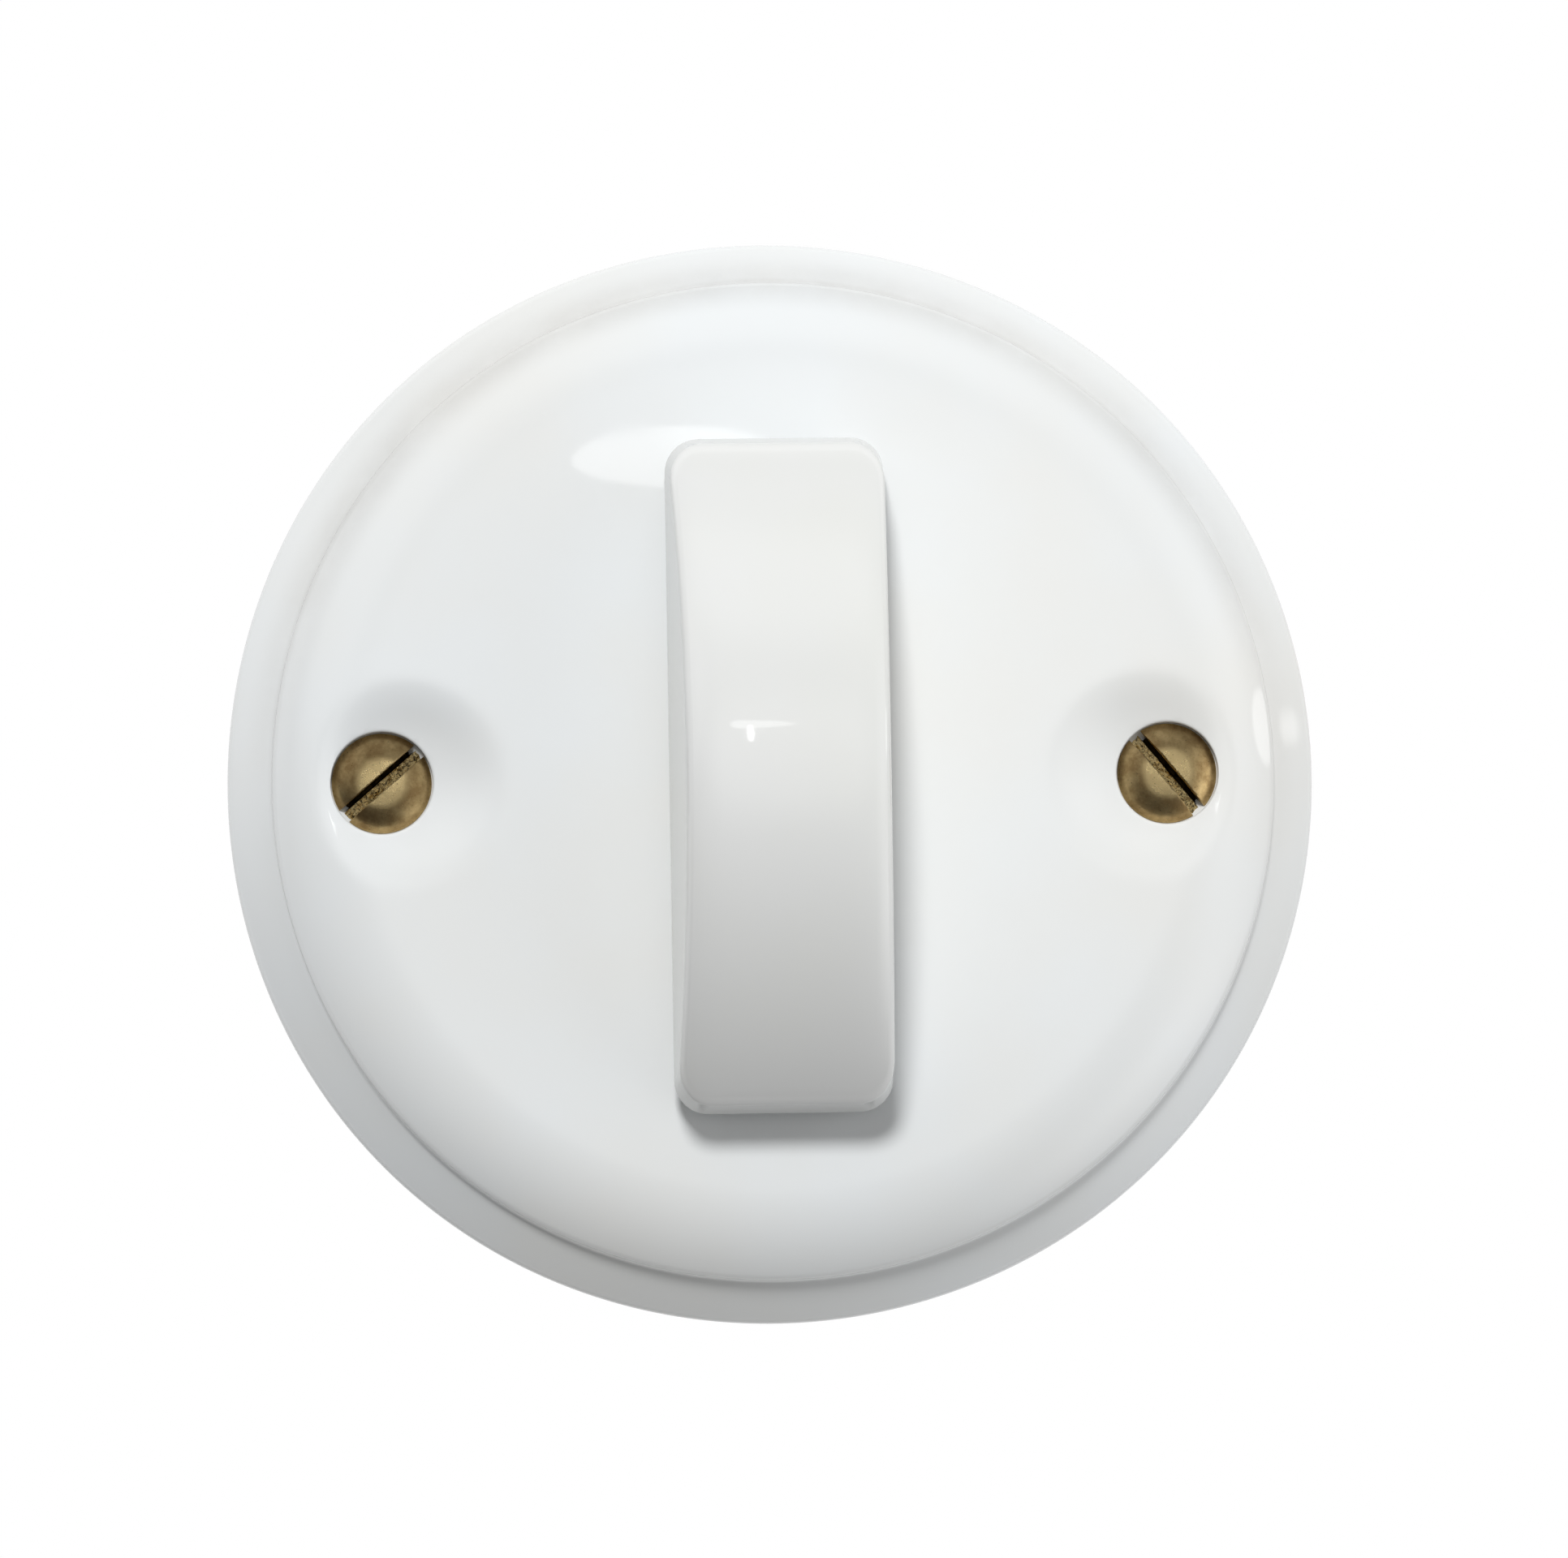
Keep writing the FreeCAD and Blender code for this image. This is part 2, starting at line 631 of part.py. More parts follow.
def mounting_strap():
    strap = cylinder(strap_radius, 0, strap_front)
    thread = COVER_SHANK_DIAMETER / 2 + SCREW_FIT
    holes = [cylinder(bush_radius + SLIDING_FIT, 0, strap_front)]
    for side in (-1, 1):
        x = side * cover_screw_radius
        strap = strap.fuse(cylinder(thread + STRAP_COLLAR_WALL, -STRAP_COLLAR_LENGTH, 0, x))
        holes.append(cylinder(thread, -STRAP_COLLAR_LENGTH, strap_front, x))
        holes.append(slot(BOX_SLOT_LENGTH, BOX_SLOT_WIDTH, 0, strap_front, side * BOX_SCREW_SPACING / 2))
        y = side * STRAP_SCREW_SPACING / 2
        holes.append(cylinder(STRAP_SCREW_DIAMETER / 2 + SCREW_CLEARANCE, 0, strap_front, 0, y))
    return strap.removeSplitter().cut(holes)


def strap_screws():
    length = strap_front - nut_front + NUT_THICKNESS + STRAP_SCREW_TIP
    screw = slotted_screw(
        STRAP_SCREW_HEAD_DIAMETER, STRAP_SCREW_HEAD_HEIGHT, STRAP_SCREW_DIAMETER, length, STRAP_SCREW_SLOT
    )
    half = STRAP_SCREW_SPACING / 2
    return Part.makeCompound([moved(screw, y=side * half, z=strap_front) for side in (-1, 1)])


def strap_nuts():
    nuts = []
    for side in (-1, 1):
        y = side * STRAP_SCREW_SPACING / 2
        nut = hexagon(NUT_WIDTH, nut_front - NUT_THICKNESS, nut_front, 0, y)
        thread = STRAP_SCREW_DIAMETER / 2 + SCREW_FIT
        nuts.append(nut.cut(cylinder(thread, nut_front - NUT_THICKNESS, nut_front, 0, y)))
    return Part.makeCompound(nuts)


def insulating_disc():
    disc = cylinder(base_radius - DISC_EDGE, base_front, 0)
    holes = [cylinder(bush_radius + DISC_CLEARANCE, base_front, 0)]
    for side in (-1, 1):
        y = side * STRAP_SCREW_SPACING / 2
        holes.append(cylinder(STRAP_SCREW_DIAMETER / 2 + SCREW_CLEARANCE, base_front, 0, 0, y))
    return disc.cut(holes)


def terminal_notch():
    """The room for one terminal and its finger: a notch open at the back, and a window to the drum."""
    half = notch_half
    inner = finger_leg - FINGER_THICKNESS / 2 - FINGER_SLOT_CLEARANCE
    notch = block(inner, 2 * base_radius, -half, half, base_back, notch_roof)
    window = block(0, inner, -half, half, finger_back - FINGER_SLOT_CLEARANCE, notch_roof)
    return notch.fuse(window)


def switch_base():
    base = cylinder(base_radius, base_back, base_front)
    base = base.makeFillet(BASE_EDGE_ROUND, [e for e in base.Edges if e.BoundBox.ZMax < base_back + SAME])
    ends = DETENT_SPRING_LENGTH / 2 + DETENT_SPRING_FIT
    bearing = spring_outer + DETENT_SPRING_FIT
    corner = math.sqrt(2) * cam_half - (math.sqrt(2) - 1) * CAM_CORNER_ROUND
    free = corner + DETENT_SPRING_THICKNESS + DETENT_FREE_CLEARANCE
    free_end = DETENT_FREE_LENGTH / 2
    cuts = [
        block(-ends, ends, -bearing, bearing, pocket_floor, base_front),
        block(-free_end, free_end, -free, free, pocket_floor, base_front),
        cylinder(chamber_radius, chamber_floor, pocket_floor),
        cylinder(end_radius + RUNNING_FIT, recess_floor, chamber_floor),
        cylinder(CLIP_DIAMETER / 2 + BASE_RECESS_CLEARANCE, base_back, recess_floor),
    ]
    for side in (-1, 1):
        y = side * STRAP_SCREW_SPACING / 2
        cuts.append(cylinder(STRAP_SCREW_DIAMETER / 2 + SCREW_CLEARANCE, base_back, base_front, 0, y))
        cuts.append(hexagon(nut_pocket_width, base_back, nut_front, 0, y))
    sink = cylinder(
        FIXING_HEAD_DIAMETER / 2 + FIXING_COUNTERBORE_CLEARANCE, fixing_seat, base_front, terminal_axis
    )
    hole = cylinder(FIXING_SCREW_DIAMETER / 2 + SCREW_CLEARANCE, notch_roof, fixing_seat, terminal_axis)
    for angle in around_terminals():
        cuts += [spun(piece, angle) for piece in (terminal_notch(), sink, hole)]
    return base.cut(cuts).removeSplitter()


def detent_cam():
    cam = square_bar(CAM_WIDTH, cam_back, cam_front)
    cam = cam.makeFillet(CAM_CORNER_ROUND, [e for e in cam.Edges if e.BoundBox.ZLength > CAM_THICKNESS / 2])
    return cam.cut(square_bar(SPINDLE_DRIVE_SQUARE + 2 * SLIDING_FIT, cam_back, cam_front))


def detent_spring():
    """A leaf along X on the upper flat of the cam, with its two ends hooked towards the axis."""
    bend = DETENT_SPRING_BEND
    middle = (spring_inner + spring_outer) / 2
    reach = DETENT_SPRING_LENGTH / 2 - DETENT_SPRING_THICKNESS / 2
    hook = DETENT_SPRING_HOOK
    moves = [(hook, 0), (bend, 90), (2 * (reach - bend), 0), (bend, 90), (hook, 0)]
    face = strip((reach, middle - bend - hook), 90, moves, DETENT_SPRING_THICKNESS, in_plan)
    low = (cam_front + cam_back - DETENT_SPRING_WIDTH) / 2
    return moved(face, z=low).extrude(AXIS * DETENT_SPRING_WIDTH)


def sector(radius, angle, low, high):
    """A slice of a cylinder, centred on +Y."""
    slice_ = Part.makeCylinder(radius, high - low, FreeCAD.Vector(0, 0, low), AXIS, angle)
    return spun(slice_, 90 - angle / 2)


def contact_segment():
    back = segment_front - SEGMENT_WIDTH
    slice_ = sector(drum_radius, SEGMENT_ANGLE, back, segment_front)
    return slice_.cut(cylinder(drum_radius - SEGMENT_THICKNESS, back, segment_front))


def contact_drum():
    drum = cylinder(drum_radius, drum_back, drum_front)
    drum = drum.fuse(cylinder(HUB_DIAMETER / 2, drum_front, cam_back - HUB_GAP))
    seat = contact_segment()
    bore = square_bar(SPINDLE_DRIVE_SQUARE + 2 * SLIDING_FIT, drum_back, cam_back)
    return drum.cut([seat, spun(seat, 180), bore])


def contact_finger():
    """A sprung strip for the terminal on the +X axis: leg, arm, rounded nose and tail, and a fixing tab."""
    angle = math.radians(FINGER_ANGLE)
    half = FINGER_THICKNESS / 2
    nose = FINGER_NOSE_RADIUS
    tip = drum_radius + CONTACT_FIT + half + nose - nose / math.sin(angle)
    corner = (finger_leg - tip) * math.tan(angle)
    leg_turn = 90 + FINGER_ANGLE
    nose_turn = 180 - 2 * FINGER_ANGLE
    leg_cut = FINGER_BEND_RADIUS * math.tan(math.radians(leg_turn / 2))
    nose_cut = nose * math.tan(math.radians(nose_turn / 2))
    arm = (finger_leg - tip) / math.cos(angle)
    moves = [
        (FINGER_LEG + corner - leg_cut, 0),
        (FINGER_BEND_RADIUS, -leg_turn),
        (arm - leg_cut - nose_cut, 0),
        (nose, -nose_turn),
        (FINGER_TAIL, 0),
    ]
    face = strip((finger_leg, FINGER_LEG), -90, moves, FINGER_THICKNESS, in_plan)
    spring = moved(face, z=finger_back).extrude(AXIS * FINGER_WIDTH)
    inner = finger_leg - half
    low = leg_cut - corner
    riser = block(inner, finger_leg + half, low, FINGER_LEG, finger_front, notch_roof)
    tab = block(inner, terminal_outer, low, FINGER_LEG, terminal_front, notch_roof)
    hole = FIXING_SCREW_DIAMETER / 2 + SCREW_CLEARANCE
    finger = spring.fuse([riser, tab])
    return finger.cut(cylinder(hole, terminal_front, notch_roof, terminal_axis)).removeSplitter()


def terminal():
    half = TERMINAL_WIDTH / 2
    body = block(terminal_inner, terminal_outer, -half, half, terminal_back, terminal_front)
    body = body.makeFillet(TERMINAL_EDGE_ROUND, [e for e in body.Edges if e.BoundBox.ZLength > half])
    thread = FIXING_SCREW_DIAMETER / 2 + SCREW_FIT
    depth = FIXING_SCREW_LENGTH - FIXING_ROOF + SCREW_CLEARANCE
    clamp = Part.makeCylinder(
        CLAMP_SCREW_DIAMETER / 2 + SCREW_FIT,
        TERMINAL_DEPTH / 2,
        FreeCAD.Vector(terminal_axis, 0, terminal_back + CLAMP_LEVEL),
        FreeCAD.Vector(1, 0, 0),
    )
    wire = cylinder(WIRE_BORE_DIAMETER / 2, terminal_back, terminal_back + WIRE_BORE_LENGTH, terminal_axis)
    return body.cut([cylinder(thread, notch_roof - depth, terminal_front, terminal_axis), clamp, wire])


def terminal_fixing_screws():
    screw = slotted_screw(
        FIXING_HEAD_DIAMETER, FIXING_HEAD_HEIGHT, FIXING_SCREW_DIAMETER, FIXING_SCREW_LENGTH, FIXING_SLOT
    )
    screw = moved(screw, terminal_axis, 0, fixing_seat)
    return Part.makeCompound([spun(screw, angle) for angle in around_terminals()])


def terminal_clamp_screws():
    length = TERMINAL_DEPTH / 2 - WIRE_BORE_DIAMETER / 2 - SCREW_FIT + AXIAL_PLAY
    screw = slotted_screw(CLAMP_HEAD_DIAMETER, CLAMP_HEAD_HEIGHT, CLAMP_SCREW_DIAMETER, length, CLAMP_SLOT)
    screw.rotate(ORIGIN, FreeCAD.Vector(0, 1, 0), 90)
    screw = moved(screw, terminal_outer + AXIAL_PLAY, 0, terminal_back + CLAMP_LEVEL)
    return Part.makeCompound([spun(screw, angle) for angle in around_terminals()])


def pieces():
    """Every piece by its name, lying on its back."""
    made = {
        "cover_plate": cover_plate(),
        "cover_screws": cover_screws(),
        "knob": knob(),
        "knob_insert": knob_insert(),
        "knob_spring": knob_spring(),
        "spindle": spindle(),
        "bearing_bush": bearing_bush(),
        "thrust_washer": thrust_washer(),
        "retaining_clip": retaining_clip(),
        "mounting_strap": mounting_strap(),
        "strap_screws": strap_screws(),
        "strap_nuts": strap_nuts(),
        "insulating_disc": insulating_disc(),
        "switch_base": switch_base(),
        "detent_cam": detent_cam(),
        "detent_spring_upper": detent_spring(),
        "detent_spring_lower": spun(detent_spring(), 180),
        "contact_drum": contact_drum(),
        "contact_segment_upper": contact_segment(),
        "contact_segment_lower": spun(contact_segment(), 180),
        "terminal_fixing_screws": terminal_fixing_screws(),
        "terminal_clamp_screws": terminal_clamp_screws(),
    }
    for number, angle in enumerate(around_terminals(), 1):
        made[f"contact_finger_{number}"] = spun(contact_finger(), angle)
        made[f"terminal_{number}"] = spun(terminal(), angle)
    return made


def upright(shape):
    """Turn a piece up to the wall: its front then looks along -Y and its top is at +Z."""
    copy = shape.copy()
    copy.rotate(ORIGIN, FreeCAD.Vector(1, 0, 0), 90)
    return copy


os.makedirs("parts", exist_ok=True)
for name, shape in pieces().items():
    upright(shape).exportStep(f"parts/{name}.step")
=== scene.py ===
import json
import math

import bmesh
import bpy
from bpy.props import FloatProperty, FloatVectorProperty, PointerProperty
from bpy.types import Node, NodeSocket, Operator, Panel, PropertyGroup
from mathutils import Matrix, Quaternion, Vector, noise


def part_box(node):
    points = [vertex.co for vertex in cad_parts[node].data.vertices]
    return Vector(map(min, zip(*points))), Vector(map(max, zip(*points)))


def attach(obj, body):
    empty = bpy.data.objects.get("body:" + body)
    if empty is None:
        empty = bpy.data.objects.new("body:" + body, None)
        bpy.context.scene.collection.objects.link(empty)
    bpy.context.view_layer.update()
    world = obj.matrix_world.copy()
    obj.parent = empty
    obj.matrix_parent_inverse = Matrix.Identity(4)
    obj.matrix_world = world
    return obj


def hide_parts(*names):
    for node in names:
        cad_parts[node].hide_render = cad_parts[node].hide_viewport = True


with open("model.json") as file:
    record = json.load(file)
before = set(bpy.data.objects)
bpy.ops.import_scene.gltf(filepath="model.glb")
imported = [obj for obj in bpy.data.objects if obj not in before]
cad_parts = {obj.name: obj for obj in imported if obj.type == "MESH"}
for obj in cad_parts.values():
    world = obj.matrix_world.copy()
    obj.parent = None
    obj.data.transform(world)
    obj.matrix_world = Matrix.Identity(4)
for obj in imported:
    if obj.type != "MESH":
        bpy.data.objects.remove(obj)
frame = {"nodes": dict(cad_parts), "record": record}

bl_info = {
    "name": "Porcelain Rotary Switch",
    "version": (1, 0, 0),
    "blender": (4, 5, 0),
    "location": "3D View > Sidebar > Switch",
    "description": "Models the visible pieces of a porcelain rotary switch, finishes them and sets a studio",
    "category": "Object",
}

MM = 0.001
MERGE = 0.0005 * MM
PLATE_STEPS = 360
SMALL_STEPS = 96
PLATE_LOW, PLATE_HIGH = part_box("cover_plate")
KNOB_LOW, KNOB_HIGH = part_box("knob")
SCREWS_LOW, SCREWS_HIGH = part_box("cover_screws")
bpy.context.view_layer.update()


def linear(code):
    """The linear colour of an sRGB hex code, with full alpha."""
    shares = [int(code[at:at + 2], 16) / 255 for at in (1, 3, 5)]
    return (*(s / 12.92 if s <= 0.04045 else ((s + 0.055) / 1.055) ** 2.4 for s in shares), 1.0)


def length(name, description, millimetres):
    return FloatProperty(name=name, description=description, default=millimetres * MM, unit="LENGTH")


def angle(name, description, degrees):
    return FloatProperty(name=name, description=description, default=math.radians(degrees), subtype="ANGLE")


def colour(name, description, code):
    return FloatVectorProperty(
        name=name, description=description, default=linear(code), size=4, subtype="COLOR"
    )


class PlateSizes(PropertyGroup):
    side_height: length("Side", "Upright side of the rim, from the wall", 1.2)
    edge_round: length("Edge round", "Round between the rim's side and its land", 1.4)
    rim_slope: angle("Rim slope", "Slope of the rim's land", 44)
    rim_land: length("Rim land", "Width of the rim's land, along its slope", 3.8)
    step_foot: length("Step foot", "Hollow round at the foot of the step", 0.7)
    step_wall: length("Step wall", "Straight part of the step", 0.25)
    step_draft: angle("Step draft", "Lean of the step towards the axis", 5)
    step_edge: length("Step edge", "Round at the top of the step", 1.0)
    dome_slope: angle("Dome slope", "Slope of the dome at the step", 40)
    dome_edge_radius: length("Dome edge", "Radius of the dome's outer band", 12.5)
    middle_slope: angle("Middle slope", "Slope where the dome's flat middle starts", 6.5)
    rim_wall: length("Rim wall", "Thickness of the rim at the wall", 4.6)
    hollow_side: length("Hollow side", "Upright inner side of the rim", 2.0)
    hollow_corner: length("Hollow corner", "Round between the inner side and the ceiling", 2.0)
    ceiling_slope: angle("Ceiling slope", "Slope of the ceiling at its edge", 10)
    hole_radius: length("Hole", "Radius of the knob's hole", 7.2)
    hole_round: length("Hole round", "Round of the hole's front edge", 0.8)
    screw_radius: length("Screw place", "Distance of the screws from the switch axis", 30)
    dish_depth: length("Dish depth", "Depth of a screw dish below the dome", 1.6)
    dish_radius: length("Dish radius", "Radius of the ball that forms a screw dish", 16)
    dish_blend: length("Dish blend", "Softness of a screw dish's edge", 0.8)
    sink_radius: length("Countersink", "Radius of the countersink at the dish's floor", 4.1)
    sink_wall: length("Countersink wall", "Radius of the upright wall above a countersink", 3.88)
    sink_edge: length("Countersink edge", "Round of the glaze at the countersink", 0.28)
    shank_hole: length("Shank hole", "Radius of the screw's hole", 2.15)
    boss_radius: length("Boss", "Radius of the bosses behind the screws", 5.2)
    boss_back: length("Boss back", "Height of a boss's end above the wall", 1.5)


class KnobSizes(PropertyGroup):
    neck_length: length("Neck length", "How far the neck reaches behind the bar", 4.6)
    neck_radius: length("Neck", "Radius of the neck", 6.6)
    end_height: length("End height", "Height of the bar at its ends", 3.4)
    arch_overrun: length("Arch overrun", "How far the front's elliptic arch would run on past the ends", 3.1)
    side_draft: angle("Side draft", "Lean of the long sides", 3.2)
    end_draft: angle("End draft", "Lean of the ends", 15)
    corner_round: length("Corner round", "Round of the upright corners", 2.6)
    edge_round: length("Edge round", "Round of the front edges", 0.5)
    foot_round: length("Foot round", "Round of the back edges", 0.7)
    crown: length("Cross round", "How far the front falls from its middle line to where it rolls over", 0.18)
    droop: length("Roll", "How far the front rolls over at its long edges", 0.7)
    bore_radius: length("Bore", "Radius of the bore for the brass socket", 4.6)
    bore_front: length("Bore end", "Height of the bore's end above the wall", 18.8)
    pocket_wall: length("Pocket wall", "Wall left round the pockets in the back", 3.2)
    pocket_depth: length("Pocket depth", "Depth of the pockets in the back", 2.6)
    pocket_round: length("Pocket round", "Round of the pockets' corners", 1.5)


class ScrewSizes(PropertyGroup):
    head_radius: length("Head", "Radius of the head", 3.8)
    land: length("Land", "Upright edge of the head", 0.15)
    rise: length("Rise", "Rise of the head above its edge", 1.15)
    patch_radius: length("Turned patch", "Radius of the turned middle of the head", 1.95)
    patch_slope: angle("Patch slope", "Slope at the edge of the turned middle", 7)
    dome_slope: angle("Dome slope", "Slope of the head just outside the turned middle", 12)
    edge_round: length("Edge round", "Wear round at the head's rim", 0.2)
    slot_width: length("Slot width", "Width of the slot", 1.1)
    slot_depth: length("Slot depth", "Depth of the slot below the top", 1.5)
    tear_size: length("Tear size", "Size of the torn grains on the slot's floor", 0.12)
    tear_depth: length("Tear depth", "Depth of the torn grains on the slot's floor", 0.16)
    saw_depth: length("Saw depth", "How much deeper the slot is along its upper side", 0.45)
    slot_edge: length("Slot edge", "Wear round along the slot", 0.07)
    slot_left: angle("Left slot", "Turn of the left screw's slot", 40.5)
    slot_right: angle("Right slot", "Turn of the right screw's slot", -50.5)
    core_radius: length("Core", "Radius at the root of the thread", 1.58)
    crest_radius: length("Crest", "Radius at the top of the thread", 1.93)
    pitch: length("Pitch", "Pitch of the thread", 0.7)
    thread_length: length("Thread", "Length of the thread from the tip", 6.3)


class FinishColours(PropertyGroup):
    porcelain: colour("Porcelain", "Clear glaze over white porcelain", "#e5e8e9")
    porcelain_warm: colour("Porcelain, warm", "Clouds where the glaze is thicker", "#e4e4e1")
    knob_porcelain: colour("Knob porcelain", "The knob's glaze, a little greyer than the plate's", "#e0e1e0")
    knob_porcelain_warm: colour("Knob porcelain, warm", "Clouds where the knob's glaze is thicker", "#dedfdb")
    # The speck colour also paints the shade in the groove at the plate's step foot
    speck_and_shade: colour("Speck", "Iron specks under the glaze", "#8d867c")
    brass_bright: colour("Aged brass, rubbed", "Brass where hands and tools rub it", "#e6cf98")
    brass_tan: colour("Aged brass, tan", "Thin tarnish on brass", "#d8bd88")
    brass_dull: colour("Aged brass, dull", "Brown tarnish on brass", "#ad9062")
    # This dark colour also paints the shade in the saw's groove of the slot
    brass_dark: colour("Aged brass, dark", "Dirt in the pits and in the slot", "#2e2410")
    brass: colour("Brass", "Machined brass out of the light", "#c3a35c")
    brass_stain: colour("Brass, stained", "Tarnish on machined brass", "#94743a")
    zinc: colour("Zinc", "Clear passivated zinc plating", "#aeb3b6")
    zinc_dull: colour("Zinc, dull", "White bloom on the plating", "#93999b")
    spring_steel: colour("Spring steel", "Tempered steel strip", "#6d6f76")
    spring_steel_blue: colour("Spring steel, blued", "Temper blue near the bends", "#4d5568")
    bronze: colour("Bronze", "Spring bronze strip", "#b58a5b")
    bronze_stain: colour("Bronze, stained", "Brown oxide on bronze", "#80583a")
    steatite: colour("Steatite", "Unglazed pressed steatite", "#e3ddcf")
    steatite_stain: colour("Steatite, stained", "Handling marks on steatite", "#cdc3ae")
    moulding: colour("Moulding", "Brown thermoset moulding", "#33241b")
    moulding_fleck: colour("Moulding, fleck", "Wood flour flecks in the moulding", "#4b3527")
    fibre: colour("Fibre", "Pressed red-brown fibre", "#8a4a35")
    fibre_fleck: colour("Fibre, fleck", "Paler fibres in the sheet", "#a5674d")
    floor: colour("Floor", "Pale studio floor", "#f1f1f0")


class StudioSettings(PropertyGroup):
    camera_azimuth: angle("Camera azimuth", "How far the camera stands to the right", -3.5)
    camera_elevation: angle("Camera elevation", "How far the camera stands above the switch", -3.1)
    camera_roll: angle("Camera roll", "Turn of the switch against the clock in the picture", 0.95)
    camera_distance: length("Camera distance", "Distance from the camera to the switch", 700)
    picture_width: length("Picture width", "Width that the picture shows at the switch", 120.9)
    aim_right: length("Aim right", "Place of the picture's centre to the right of the switch axis", 1.12)
    aim_up: length("Aim up", "Place of the picture's centre above the switch axis", 0.35)
    key_azimuth: angle("Key azimuth", "How far the key lamp hangs to the right of the front", -8)
    key_elevation: angle("Key elevation", "How far the key lamp hangs above the front", 30)
    key_distance: length("Key distance", "Distance from the key lamp to the switch", 2000)
    key_width: length("Key width", "Width of the key lamp", 420)
    key_power: FloatProperty(
        name="Key power", description="Power of the key lamp", default=32, subtype="POWER"
    )
    floor_level: length("Floor", "Height of the floor", -160)
    floor_radius: length("Floor size", "Radius of the floor", 3000)


# Meshes


class Section:
    """The section of a turned piece, drawn edge by edge: x is the radius, -y the height above the wall."""

    def __init__(self, mesh, radius, height, heading):
        self.mesh = mesh
        self.heading = heading
        self.start = self.tip = mesh.verts.new((radius, -height, 0))

    def ahead(self, turn, distance):
        facing = self.heading + turn
        return self.tip.co + Vector((math.cos(facing), -math.sin(facing), 0)) * distance

    def to(self, place):
        made = bmesh.ops.extrude_vert_indiv(self.mesh, verts=[self.tip])
        self.tip = made["verts"][0]
        self.tip.co = place

    def line(self, distance, steps=1):
        for _ in range(steps):
            self.to(self.ahead(0, distance / steps))

    def level(self, radius, height):
        self.to((radius, -height, 0))

    def arc(self, radius, turn, steps):
        centre = self.ahead(math.copysign(math.pi / 2, turn), radius)
        made = bmesh.ops.spin(
            self.mesh, geom=[self.tip], cent=centre, axis=(0, 0, -1), angle=turn, steps=steps
        )
        self.tip = [v for v in made["geom_last"] if isinstance(v, bmesh.types.BMVert)][0]
        self.heading += turn
        return centre

    def close(self):
        self.mesh.edges.new((self.tip, self.start))


def turn_round(mesh, steps):
    """Spin the drawn section all the way round the switch axis."""
    section = mesh.verts[:] + mesh.edges[:]
    bmesh.ops.spin(
        mesh, geom=section, cent=(0, 0, 0), axis=(0, 1, 0), angle=math.tau, steps=steps, use_merge=True
    )
    clean(mesh)


def clean(mesh):
    """Merge doubles, trim faces that hang on an already shared edge, close slits, and face outwards."""
    bmesh.ops.remove_doubles(mesh, verts=mesh.verts, dist=MERGE)
    bmesh.ops.dissolve_degenerate(mesh, edges=mesh.edges, dist=MERGE)
    crowded = [edge for edge in mesh.edges if len(edge.link_faces) > 2]
    hanging = {face for edge in crowded for face in edge.link_faces if any(e.is_boundary for e in face.edges)}
    bmesh.ops.delete(mesh, geom=list(hanging), context="FACES")
    bmesh.ops.holes_fill(mesh, edges=[edge for edge in mesh.edges if edge.is_boundary])
    bmesh.ops.recalc_face_normals(mesh, faces=mesh.faces)


def turned(points, steps=SMALL_STEPS):
    """A closed turned shape through (radius, height) points that start and end on the axis."""
    mesh = bmesh.new()
    section = Section(mesh, *points[0], 0)
    for radius, height in points[1:]:
        section.level(radius, height)
    turn_round(mesh, steps)
    return mesh


def bevel(mesh, edges, offset, segments):
    bmesh.ops.bevel(
        mesh, geom=edges, offset=offset, segments=segments, profile=0.5, affect="EDGES", material=-1
    )


def uprights(mesh):
    """The edges of a block that run along Y."""
    return [e for e in mesh.edges if abs(e.verts[0].co.y - e.verts[1].co.y) > MERGE]


def slice_block(mesh, way, size, count):
    """Cut a block that is centred on the origin into equal slices along one way."""
    for step in range(1, count):
        at = way * size * (step / count - 0.5)
        parts = mesh.verts[:] + mesh.edges[:] + mesh.faces[:]
        bmesh.ops.bisect_plane(mesh, geom=parts, dist=MERGE, plane_co=at, plane_no=way)


def add_object(name, mesh):
    data = bpy.data.meshes.new(name)
    mesh.to_mesh(data)
    mesh.free()
    piece = bpy.data.objects.new(name, data)
    bpy.context.scene.collection.objects.link(piece)
    return piece


def combine(piece, mesh, operation):
    """Add, cut or keep a shape of a piece with a Boolean, and keep the result as its mesh."""
    tool = add_object("tool", mesh)
    change = piece.modifiers.new("combine", "BOOLEAN")
    change.object = tool
    change.operation = operation
    change.solver = "EXACT"
    keep_modifiers(piece)
    shape = tool.data
    bpy.data.objects.remove(tool)
    bpy.data.meshes.remove(shape)


def keep_modifiers(piece):
    bpy.context.view_layer.update()
    seen = piece.evaluated_get(bpy.context.evaluated_depsgraph_get())
    shaped = bpy.data.meshes.new_from_object(seen)
    before = piece.data
    piece.modifiers.clear()
    piece.data = shaped
    bpy.data.meshes.remove(before)
    shaped.name = piece.name


def edit(piece, change, *values):
    """Run a mesh change on a finished piece."""
    mesh = bmesh.new()
    mesh.from_mesh(piece.data)
    change(mesh, *values)
    clean(mesh)
    mesh.to_mesh(piece.data)
    mesh.free()


def finish(piece, material, crease, body, node):
    """Shade a piece, give it its finish, and set it on its body in place of the frame's own node.

    An edge that folds by more than crease, in degrees, is shaded as sharp.
    """
    piece.data.shade_smooth()
    piece.data.set_sharp_from_angle(angle=math.radians(crease))
    piece.data.materials.clear()
    piece.data.materials.append(material)
    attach(piece, body)
    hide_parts(node)


def smooth_min(first, second, blend):
    """The lower of two heights, rounded where they cross."""
    part = min(1.0, max(0.0, 0.5 + 0.5 * (second - first) / blend))
    return second + (first - second) * part - blend * part * (1 - part)


# Finishes


